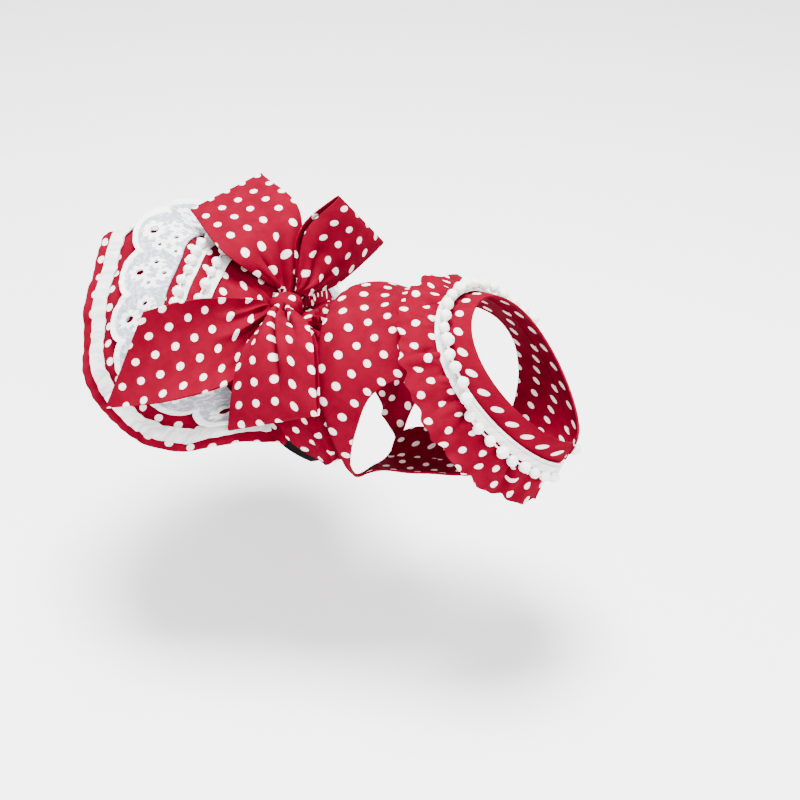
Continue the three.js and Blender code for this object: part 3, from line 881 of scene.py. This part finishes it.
def ramp(tree, value, low, high, to_low=0.0, to_high=1.0):
    """A smooth step between two values, while value goes from low to high."""
    limits = (("From Min", low), ("From Max", high), ("To Min", to_low), ("To Max", to_high))
    inputs = (("Value", value), *limits)
    return new_node(tree, "ShaderNodeMapRange", inputs, interpolation_type="SMOOTHSTEP").outputs["Result"]


def finish(name, roughness, sheen=0.0, specular=0.4):
    material = bpy.data.materials.new(name)
    material.use_nodes = True
    shader = material.node_tree.nodes["Principled BSDF"]
    for key, value in (("Roughness", roughness), ("Sheen Weight", sheen), ("Specular IOR Level", specular)):
        shader.inputs[key].default_value = value
    return material, material.node_tree, shader


def cut_map(tree):
    return new_node(tree, "ShaderNodeUVMap", uv_map="cut").outputs[0]


def noise(tree, where, scale, detail=3.0):
    inputs = (("Vector", where), ("Scale", scale), ("Detail", detail), ("Roughness", 0.55))
    return new_node(tree, "ShaderNodeTexNoise", inputs).outputs["Fac"]


def wave(tree, where, pitch):
    """A sine wave with its pitch in millimetres."""
    return math(tree, "SINE", math(tree, "MULTIPLY", where, 2 * np.pi / (pitch * MM)))


def woven(tree, where, pitch):
    """A plain weave's height: threads going over and under each other."""
    across, down, _ = new_node(tree, "ShaderNodeSeparateXYZ", [(0, where)]).outputs
    return math(tree, "MULTIPLY", wave(tree, across, pitch), wave(tree, down, pitch))


def coat(tree, shader, color, *layers):
    """Gives the shader its colour and its layers of height, each with its depth in millimetres."""
    tree.links.new(color, shader.inputs["Base Color"])
    normal = None
    for height, depth in layers:
        inputs = (("Strength", 1), ("Distance", depth * MM), ("Height", height), ("Normal", normal))
        normal = new_node(tree, "ShaderNodeBump", inputs).outputs["Normal"]
    feed(tree, shader.inputs["Normal"], normal)


def spotted_cotton():
    """Red cotton with white dots on a square lattice, their edges a little ragged."""
    material, tree, shader = finish("spotted_cotton", 0.95, specular=0.02)
    cut = cut_map(tree)
    rough = new_node(tree, "ShaderNodeTexNoise", [("Vector", cut), ("Scale", 700)]).outputs["Color"]
    centred = vector_math(tree, "SUBTRACT", rough, (0.5, 0.5, 0.5))
    shaken = vector_math(tree, "ADD", cut, vector_math(tree, "SCALE", centred, None, None, 0.5 * MM))
    pitch = (DOT_PITCH * MM, DOT_PITCH * MM, 1)
    cell = vector_math(tree, "FRACTION", vector_math(tree, "DIVIDE", shaken, pitch))
    off = vector_math(tree, "SUBTRACT", cell, (0.5, 0.5, 0))
    off = vector_math(tree, "MULTIPLY", off, (DOT_PITCH, DOT_PITCH, 0))
    length = new_node(tree, "ShaderNodeVectorMath", [(0, off)], operation="LENGTH").outputs["Value"]
    dot = ramp(tree, length, DOT_RADIUS - DOT_EDGE, DOT_RADIUS + DOT_EDGE, 1.0, 0.0)
    mottle = ramp(tree, noise(tree, cut, 90), 0.3, 0.7)
    slub = noise(tree, vector_math(tree, "MULTIPLY", cut, (1, 14, 1)), 260)
    deep = math(tree, "MULTIPLY", math(tree, "MULTIPLY", mottle, slub), 0.9)
    color = mixed(tree, dot, mixed(tree, deep, RED, RED_DEEP), DOT_WHITE)
    coat(tree, shader, color, (noise(tree, cut, 150), 0.22), (woven(tree, cut, 0.5), 0.035), (dot, 0.02))
    return material


def white_cloth(name, twill, roughness=0.85, stitch_row=None):
    """White cotton tape with diagonal ribs twill apart, and stitches in a row stitch_row from one edge."""
    material, tree, shader = finish(name, roughness, sheen=0.1)
    cut = cut_map(tree)
    across, down, _ = new_node(tree, "ShaderNodeSeparateXYZ", [(0, cut)]).outputs
    ribs = wave(tree, math(tree, "ADD", across, down), twill)
    puckers = noise(tree, vector_math(tree, "MULTIPLY", cut, (1, 0.25, 1)), 170)
    shadow = math(tree, "MULTIPLY", ramp(tree, puckers, 0.62, 0.35), 0.55)
    color = mixed(tree, shadow, COTTON_WHITE, COTTON_SHADOW)
    layers = [(puckers, 0.9), (ribs, 0.06), (woven(tree, cut, 0.6), 0.04)]
    if stitch_row:
        off = math(tree, "ABSOLUTE", math(tree, "SUBTRACT", down, stitch_row * MM))
        near = ramp(tree, off, 0.35 * MM, 0.6 * MM, 1.0, 0.0)
        holes = math(tree, "MULTIPLY", near, ramp(tree, wave(tree, across, 1.7), 0.2, 0.6))
        color = mixed(tree, holes, color, STITCH_HOLE)
        layers.append((holes, -0.4))
    coat(tree, shader, color, *layers)
    return material


def embroidered_lawn():
    """White lawn worked with a small pattern, under threads that stand out where embroidery is high."""
    material, tree, shader = finish("eyelet_lace", 0.7, sheen=0.08)
    cut = cut_map(tree)
    threads = new_node(tree, "ShaderNodeAttribute", attribute_name="embroidery").outputs["Fac"]
    worked = ramp(tree, noise(tree, cut, 330, detail=1), 0.47, 0.6)
    ground = mixed(tree, worked, LAWN_WHITE, LAWN_WORKED)
    color = mixed(tree, ramp(tree, threads, 0.25, 0.7), ground, THREAD_WHITE)
    satin = woven(tree, vector_math(tree, "MULTIPLY", cut, (1, 0.35, 1)), 0.55)
    fine = ((noise(tree, cut, 220), 0.25), (woven(tree, cut, 0.5), 0.03), (satin, 0.07))
    coat(tree, shader, color, (worked, 0.35), *fine)
    return material


def pompom_yarn():
    material, tree, shader = finish("pompom_yarn", 0.95, sheen=0.3, specular=0.2)
    where = new_node(tree, "ShaderNodeTexCoord").outputs["Object"]
    tufts = noise(tree, where, 900, detail=4)
    color = mixed(tree, ramp(tree, tufts, 0.3, 0.55, 0.55, 0.0), YARN_WHITE, YARN_SHADOW)
    coat(tree, shader, color, (tufts, 0.5), (noise(tree, where, 2600), 0.15))
    return material


def label_satin():
    material, tree, shader = finish("label_satin", 0.6, specular=0.02)
    cut = cut_map(tree)
    color = mixed(tree, noise(tree, cut, 200), SATIN_BLACK, SATIN_WORN)
    coat(tree, shader, color, (woven(tree, cut, 0.45), 0.06), (noise(tree, cut, 160), 0.3))
    return material


def floor_paper():
    material, tree, shader = finish("floor_paper", 0.9)
    where = new_node(tree, "ShaderNodeTexCoord").outputs["Object"]
    coat(tree, shader, mixed(tree, noise(tree, where, 3), PAPER_WHITE, PAPER_GREY))
    return material


spots = spotted_cotton()
hem_cloth = white_cloth("hem_twill", 1.1)
braid_cloth = white_cloth("trim_braid", 1.6, roughness=0.8, stitch_row=2)
lace_cloth = embroidered_lawn()
yarn = pompom_yarn()
label_cloth = label_satin()


def dress(piece, material, node=None):
    """Gives a piece its finish and its place in the model."""
    piece.data.materials.clear()
    piece.data.materials.append(material)
    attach(piece, "root")
    if node:
        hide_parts(node)
    return piece


# Bodice


def leg_cutter(side):
    bpy.ops.object.select_all(action="DESELECT")
    bpy.ops.mesh.primitive_circle_add(vertices=LEG_CORNERS, radius=1, fill_type="NGON")
    cutter = bpy.context.object
    outline = [(row["x"], 0, row["z"]) for row in LEG_OUTLINE]
    outline = curve_through(outline, np.arange(LEG_CORNERS) / LEG_CORNERS, closed=True)
    outline[:, 1] = -side * CHEST_STRAP_HALF
    set_positions(cutter.data, outline * MM)
    depth = Vector((0, -side * LEG_DEPTH * MM, 0))
    in_edit_mode(
        cutter,
        lambda: bpy.ops.mesh.extrude_region_move(TRANSFORM_OT_translate={"value": depth}),
        lambda: bpy.ops.mesh.select_all(action="SELECT"),
        lambda: bpy.ops.mesh.normals_make_consistent(inside=False),
    )
    return cutter


bodice = cloth(
    "cotton_bodice",
    bodice_point,
    (260, 120),
    COTTON,
    PRINT["bodice"],
    even=smooth_bodice_point,
    pressed=lambda i, j: bodice_point(i, j, knotted=0),
    wraps=True,
)
for side in (1, -1):
    cutter = leg_cutter(side)
    apply(bodice, "BOOLEAN", object=cutter, operation="DIFFERENCE", solver="EXACT")
    discard(cutter)
shade(bodice)
dress(bodice, spots, "bodice")


def placket_point(i, j):
    turn = np.pi + (2 * i - 1) * np.radians(PLACKET["half_turn"])
    return torso_point(lerp(PLACKET["from"], PLACKET["to"], j), turn, PLACKET["lift"])


placket = cloth("cotton_placket", placket_point, (16, 50), PLACKET["thick"])
dress(placket, spots, "belly_placket")


def label_point(i, j):
    turn = np.radians(LABEL["turn"]) + (2 * i - 1) * np.radians(LABEL["half_turn"])
    return torso_point(rear_edge(turn) - SEAM_GAP - LABEL["hang"] * (1 - j), turn)


label = cloth("satin_label", label_point, (30, 10), LABEL["thick"])
dress(label, label_cloth, "side_label")


# Neck

band = cloth("cotton_neck_band", neck_band_point, (160, 10), COTTON, PRINT["band"])
dress(band, spots, "neck_band")

ruffle = cloth("cotton_neck_ruffle", ruffle_point, (440, 26), COTTON, PRINT["ruffle"])
dress(ruffle, spots, "neck_ruffle")

neck_tape = cloth("neck_braid", neck_tape_point, (240, 4), TAPE_CLOTH)
dress(neck_tape, braid_cloth, "neck_tape")


# Skirt and its trims


def skirt_grid(i, j):
    return skirt_point(2 * i - 1, j)


def smooth_skirt_grid(i, j):
    return rib_point(2 * i - 1, j)


skirt = cloth(
    "cotton_skirt",
    skirt_grid,
    (324, 70),
    COTTON,
    PRINT["skirt"],
    even=smooth_skirt_grid,
    pressed=smooth_skirt_grid,
    inward=True,
)
dress(skirt, spots, "skirt")

hem_tape = cloth(
    "hem_twill_tape",
    strip_on_skirt(
        HEM_TAPE["end"],
        lambda around: HEM_TAPE["inner"] + back_shift("tape", around) + 0.5 * ripples(around * 5, 5),
        lambda around: HEM_TAPE["outer"] + back_shift("tape", around) + 0.3 * ripples(around * 6, 6),
        lambda j, around: HEM_TAPE["lift"] + 0.35 * np.sin(np.pi * j) * ripples(around * 9, 9),
    ),
    (520, 8),
    TAPE_CLOTH,
    inward=True,
)
dress(hem_tape, hem_cloth, "hem_tape")


def trim_row(row):
    def braid(i, j):
        around = (2 * i - 1) * row["end"]
        distance = row_middle(row, around) + ROW_TAPE_WIDTH * (0.5 - j)
        crown = 0.5 * np.sin(np.pi * j)
        return on_skirt(around, distance, row["lift"] + crown)

    return braid


for row in TRIM_ROWS:
    name = row["name"]
    tape = cloth("skirt_braid_" + name, trim_row(row), (160, 6), TAPE_CLOTH, inward=True)
    dress(tape, braid_cloth, "skirt_tape_" + name)


# Pompoms: a tufted ball, copied along each path on its thread


def tufted_ball():
    bpy.ops.object.select_all(action="DESELECT")
    bpy.ops.mesh.primitive_ico_sphere_add(subdivisions=4, radius=1)
    ball = bpy.context.object
    places = positions(ball.data)
    random = np.random.default_rng(LOOKS_SEED)
    tufts = (places @ unit(random.normal(size=(POMPOM["tufts"], 3))).T).max(axis=1)
    lumps = (places @ unit(random.normal(size=(POMPOM["lumps"], 3))).T).max(axis=1)
    height = 0.84 + 0.12 * smooth(0.95, 1.0, tufts) + 0.1 * smooth(0.5, 0.95, lumps)
    set_positions(ball.data, places * column(height))
    return ball


def thread(path, steps=260, sides=6, radius=0.55):
    """A thin thread along a path, as points and faces."""
    at = np.linspace(0, 1, steps)
    middle = path(at)
    forward = unit(np.gradient(middle, axis=0))
    beside = unit(np.cross(forward, point(0.3, 0.2, 1)))
    above = np.cross(forward, beside)
    turn = 2 * np.pi * np.arange(sides) / sides
    ring = beside[:, None] * np.cos(turn)[:, None] + above[:, None] * np.sin(turn)[:, None]
    points = (middle[:, None] + radius * ring).reshape(-1, 3)
    faces = [tuple(range(sides)), tuple(reversed(range((steps - 1) * sides, steps * sides)))]
    for k in range(steps - 1):
        for m in range(sides):
            a, b = k * sides + m, k * sides + (m + 1) % sides
            faces.append((a, a + sides, b + sides, b))
    return points, faces


def pompom_row(name, path, node, pitch, size=1):
    steps = np.linspace(0, 1, 81)
    length = np.linalg.norm(np.diff(path(steps), axis=0), axis=-1).sum()
    count = round(length / pitch)
    random = np.random.default_rng(count)
    centres = path((np.arange(count) + 0.5) / count)
    turns = [Matrix.Rotation(random.random() * 6, 4, unit(random.normal(size=3))) for _ in centres]
    scales = size * POMPOM["radius"] * MM * (0.92 + 0.2 * random.random(count))
    centres = centres + POMPOM["jitter"] * random.normal(size=centres.shape)
    ball = tufted_ball()
    row_piece = joined(name, ball, centres, turns, scales, thread(path))
    discard(ball)
    shade(row_piece, 180)
    dress(row_piece, yarn, node)
    return row_piece


neck_pompoms = pompom_row("neck_pompom_balls", neck_pompom_path, "neck_pompoms", POMPOM["pitch"])
for row in TRIM_ROWS:
    name = row["name"]
    path = row_pompom_path(row)
    balls = pompom_row(
        "skirt_pompom_balls_" + name, path, "skirt_pompoms_" + name, row["pitch"], SKIRT_POMPOM_SIZE
    )


# Eyelet lace, cut flat with its holes and then laid on the skirt


def lace_scale(samples=600):
    """How far along the lace each place round the skirt lies, in millimetres."""
    around = np.linspace(-LACE["end"], LACE["end"], samples)
    edge = on_skirt(around, lace_tip(around) + 10)
    length = np.concatenate([[0], np.cumsum(np.linalg.norm(np.diff(edge, axis=0), axis=-1))])
    return around, length


LACE_AROUND, LACE_LENGTH = lace_scale()
EYELET = {"radius": 3.0, "from_tip": 13, "petals": 8}
# Small eyelets and leaves of each scallop, by their place beside and above the big eyelet
SMALL_EYELETS = table(
    "beside above radius petals",
    (-10, 9.5, 1.9, 6),
    (9.5, 8.5, 1.6, 5),
    (0.5, 17, 2.0, 6),
    (-14, 20, 1.3, 5),
    (13, 21, 1.5, 5),
    (-3, 28, 1.3, 5),
)
LEAVES = table(
    "beside above long wide lean",
    (-6, 12, 3.0, 1.3, 40),
    (6, 13, 3.0, 1.3, -40),
    (-8, 15, 2.6, 1.2, 100),
    (7, 17, 2.6, 1.2, 80),
    (-5, 22, 2.8, 1.3, 20),
    (5, 23, 2.8, 1.3, -30),
    (-12, 14, 2.4, 1.1, 70),
    (13, 15, 2.4, 1.1, 110),
    (0, 24, 2.4, 1.1, 90),
    (-9, 27, 2.4, 1.1, 60),
    (9, 28, 2.4, 1.1, 120),
)


def lace_around(s):
    return np.interp(s, LACE_LENGTH, LACE_AROUND)


def scallop_centres():
    k = np.arange(LACE["scallops"])
    around = LACE["end"] * (2 * (k + 0.5) / LACE["scallops"] - 1)
    return np.interp(around, LACE_AROUND, LACE_LENGTH), lace_tip(around) + EYELET["from_tip"]


def lace_marks():
    """Eyelets as (s, q, radius, petals) and leaves as (s, q, long, wide, lean), in the flat lace."""
    eyelets, leaves = [], []
    for s, q in zip(*scallop_centres()):
        eyelets.append((s, q, EYELET["radius"], EYELET["petals"]))
        room = lace_inner(lace_around(s)) - q
        for mark in SMALL_EYELETS:
            if mark["above"] < room - 4 and 3 < s + mark["beside"] < LACE_LENGTH[-1] - 3:
                eyelets.append((s + mark["beside"], q + mark["above"], mark["radius"], mark["petals"]))
        for mark in LEAVES:
            if mark["above"] < room - 3:
                place = (s + mark["beside"], q + mark["above"])
                leaves.append((*place, mark["long"], mark["wide"], mark["lean"]))
    return eyelets, leaves


def embroidery(s, q, eyelets, leaves):
    """How high the thread stands over the lawn, from 0 to 1."""
    around = lace_around(s)
    step = 0.4
    slope = (lace_outer(lace_around(s + step)) - lace_outer(lace_around(s - step))) / (2 * step)
    edge = (q - lace_outer(around)) / np.sqrt(1 + slope**2)
    high = smooth(3.6, 2.9, edge)
    for es, eq, radius, petals in eyelets:
        ds, dq = s - es, q - eq
        near = np.hypot(ds, dq)
        ring = smooth(radius + 1.3, radius + 0.8, near)
        angle = np.arctan2(dq, ds)
        reach = radius + 1.6 + (1.7 + 0.45 * radius) * np.abs(np.cos(angle * petals / 2)) ** 0.6
        petal = smooth(reach + 0.2, reach - 0.3, near) * smooth(radius + 0.9, radius + 1.4, near)
        high = np.maximum(high, np.maximum(ring, 0.85 * petal))
    for ls, lq, long, wide, lean in leaves:
        c, w = np.cos(np.radians(lean)), np.sin(np.radians(lean))
        x, y = (s - ls) * c + (q - lq) * w, -(s - ls) * w + (q - lq) * c
        high = np.maximum(high, 0.85 * smooth(1.15, 0.8, np.hypot(x / long, y / wide)))
    return high


def lace_flat(eyelets, spacing=0.95):
    """The flat lace as triangles: its outline, its holes and a lattice of points between."""
    length = LACE_LENGTH[-1]
    edge_s = np.linspace(0, length, round(length / spacing))
    lower = np.stack([edge_s, lace_outer(lace_around(edge_s))], axis=-1)
    sides = np.linspace(0, 1, 30)[1:-1]
    upper = np.stack([edge_s, lace_inner(lace_around(edge_s))], axis=-1)
    right = lower[-1] + (upper[-1] - lower[-1]) * sides[:, None]
    left = upper[0] + (lower[0] - upper[0]) * sides[:, None]
    outline = np.vstack([lower, right, upper[::-1], left])
    rings = []
    for s, q, radius, _ in eyelets:
        turn = np.linspace(0, 2 * np.pi, 14 if radius > 2 else 9, endpoint=False)
        rings.append(np.stack([s + radius * np.cos(turn), q + radius * np.sin(turn)], axis=-1))
    highest = upper[:, 1].max()
    lattice = np.array(
        [
            (x + (0.5 * spacing if k % 2 else 0), q)
            for k, q in enumerate(np.arange(lower[:, 1].min(), highest, spacing * 0.87))
            for x in np.arange(0.6, length, spacing)
        ]
    )
    around = lace_around(lattice[:, 0])
    keep = (lattice[:, 1] > lace_outer(around) + 0.55) & (lattice[:, 1] < lace_inner(around) - 0.5)
    keep &= (lattice[:, 0] < length - 0.5)
    for s, q, radius, _ in eyelets:
        keep &= np.hypot(lattice[:, 0] - s, lattice[:, 1] - q) > radius + 0.45
    lattice = lattice[keep]
    points = np.vstack([outline, *rings, lattice])
    edges = []
    start = 0
    for ring in [outline, *rings]:
        count = len(ring)
        edges += [(start + k, start + (k + 1) % count) for k in range(count)]
        start += count
    flat, _, faces, *_ = delaunay_2d_cdt([Vector(p) for p in points], edges, [], 0, 1e-5)
    flat = np.array([tuple(p) for p in flat])
    faces = np.array([face for face in faces if len(face) == 3])
    middle = flat[faces].mean(axis=1)
    around = lace_around(middle[:, 0])
    inside = (middle[:, 1] > lace_outer(around) + 0.02) & (middle[:, 1] < lace_inner(around) - 0.02)
    for s, q, radius, _ in eyelets:
        inside &= np.hypot(middle[:, 0] - s, middle[:, 1] - q) > radius * 0.93
    return flat, faces[inside]


def lace_place(s, q, height):
    around = lace_around(s)
    inner = lace_inner(around)
    outer = lace_outer(around)
    j = np.clip((inner - q) / np.maximum(inner - outer, 1), 0, 1)
    cockle = 0.5 * j**2 * np.sin(s / LACE_LENGTH[-1] * LACE["scallops"] * 2 * np.pi)
    cockle = 0.35 * j * ripples(s / 40, 21) + cockle
    return on_skirt(around, q, lace_lift(j, around) + cockle + height)


def lace_piece():
    eyelets, leaves = lace_marks()
    flat, faces = lace_flat(eyelets)
    high = embroidery(flat[:, 0], flat[:, 1], eyelets, leaves)
    ground = lace_place(flat[:, 0], flat[:, 1], np.zeros(len(flat)))
    raised = lace_place(flat[:, 0], flat[:, 1], LACE_CLOTH + 0.55 * high)
    mesh = bpy.data.meshes.new("eyelet_lace")
    mesh.from_pydata((ground * MM).tolist(), [], faces.tolist())
    mesh.attributes.new("embroidery", "FLOAT", "POINT").data.foreach_set("value", high)
    mesh.uv_layers.new(name="cut")
    set_cut(mesh, flat)
    piece = bpy.data.objects.new("eyelet_lace", mesh)
    bpy.context.collection.objects.link(piece)
    count = len(mesh.vertices)
    facing = np.array([tuple(p.normal) for p in mesh.polygons[:50]])
    out = unit(raised - ground)[faces[:50, 0]]
    if (facing * out).sum() < 0:
        in_edit_mode(piece, bpy.ops.mesh.flip_normals)
    apply(piece, "SOLIDIFY", thickness=LACE_CLOTH * MM, offset=1)
    points = positions(piece.data)
    ground_first = np.allclose(points[:count], ground * MM, atol=1e-6)
    top = slice(count, 2 * count) if ground_first else slice(0, count)
    points[top] = raised * MM
    set_positions(piece.data, points)
    shade(piece, 60)
    return piece


lace = lace_piece()
dress(lace, lace_cloth, "lace_frill")


# Bow


def bow_piece(lobe, point_on, size, thick):
    """A loop or a tail, with its print measured before it is pleated."""
    name = lobe["name"]
    unpleated = point_on(lobe, pleated=0)
    piece = cloth("cotton_" + name, point_on(lobe), size, thick, PRINT[name], unpleated, unpleated)
    dress(piece, spots, name)


bow_piece(LOOP_NEAR, loop_point, (70, 150), LOOP_CLOTH)
bow_piece(LOOP_FAR, loop_point, (70, 150), LOOP_CLOTH)
bow_piece(TAIL_NEAR, tail_point, (80, 90), BOW_CLOTH)
bow_piece(TAIL_FAR, tail_point, (80, 90), BOW_CLOTH)


def knot_point(i, j):
    """The knot's wrap: a band round the bow's middle, drawn in at both ends."""
    turn = 2 * np.pi * i
    along = 2 * j - 1
    ends = np.maximum(1 - np.abs(along) ** 3.2, 0.0) ** 0.42
    crease = 1 - 0.05 * np.cos(3 * np.pi * along + 0.8 * np.sin(turn)) * (np.abs(along) < 0.97)
    size = (0.16 + 0.84 * ends) * crease
    return np.stack(
        [
            KNOT["x"] + KNOT["long"] / 2 * signed_power(np.cos(turn), 0.72) * size,
            KNOT["y"] + KNOT["across"] / 2 * along,
            KNOT["z"] + KNOT["thick"] / 2 * signed_power(np.sin(turn), 0.72) * size,
        ],
        axis=-1,
    )


knot = cloth("bow_knot_wrap", knot_point, (64, 40), 0, PRINT["knot"], wraps=True)
in_edit_mode(knot, lambda: bpy.ops.mesh.fill_holes(sides=0))
dress(knot, spots, "bow_knot")

# Camera at the picture's angle, one metre off: the origin lies at a known pixel of the frame
AZIMUTH = np.radians(26)
ELEVATION = np.radians(32)
IMAGE = 800
PIXELS_PER_METRE = 1587
ORIGIN_PIXEL = (379, 303)
SENSOR = 36

right = Vector((np.cos(AZIMUTH), np.sin(AZIMUTH), 0))
level = np.cos(ELEVATION)
back = Vector((np.sin(AZIMUTH) * level, -np.cos(AZIMUTH) * level, np.sin(ELEVATION)))
up = back.cross(right)
target = right * (IMAGE / 2 - ORIGIN_PIXEL[0]) / PIXELS_PER_METRE
target = target + up * (ORIGIN_PIXEL[1] - IMAGE / 2) / PIXELS_PER_METRE
bpy.ops.object.camera_add(location=target + back)
camera = bpy.context.object
camera.rotation_euler = Matrix((right, up, back)).transposed().to_euler()
camera.data.sensor_width = SENSOR
camera.data.lens = SENSOR * PIXELS_PER_METRE / IMAGE
bpy.context.scene.camera = camera

# Floor and light
FLOOR = {"size": 9, "z": -0.235}
LIGHTS = table(
    "name place size watts",
    ("overhead_softbox", (-0.1, 0.1, 1.5), 0.7, 120),
    ("front_softbox", (1.4, -1.0, 0.9), 0.9, 58),
    ("side_softbox", (-1.4, -0.7, 0.8), 1.0, 16),
)
LIGHT_AIM = Vector((-0.03, 0, -0.03))
SKY_STRENGTH = 1.45

bpy.ops.mesh.primitive_plane_add(size=FLOOR["size"], location=(0, 0, FLOOR["z"]))
floor = bpy.context.object
floor.name = "floor"
floor.data.materials.append(floor_paper())

for row in LIGHTS:
    bpy.ops.object.light_add(type="AREA", location=row["place"])
    light = bpy.context.object
    light.name = row["name"]
    light.data.size = row["size"]
    light.data.energy = row["watts"]
    light.rotation_euler = (Vector(row["place"]) - LIGHT_AIM).to_track_quat("Z", "Y").to_euler()

world = bpy.data.worlds.new("studio")
world.use_nodes = True
sky = world.node_tree.nodes["Background"]
sky.inputs["Color"].default_value = (1, 1, 1, 1)
sky.inputs["Strength"].default_value = SKY_STRENGTH
bpy.context.scene.world = world
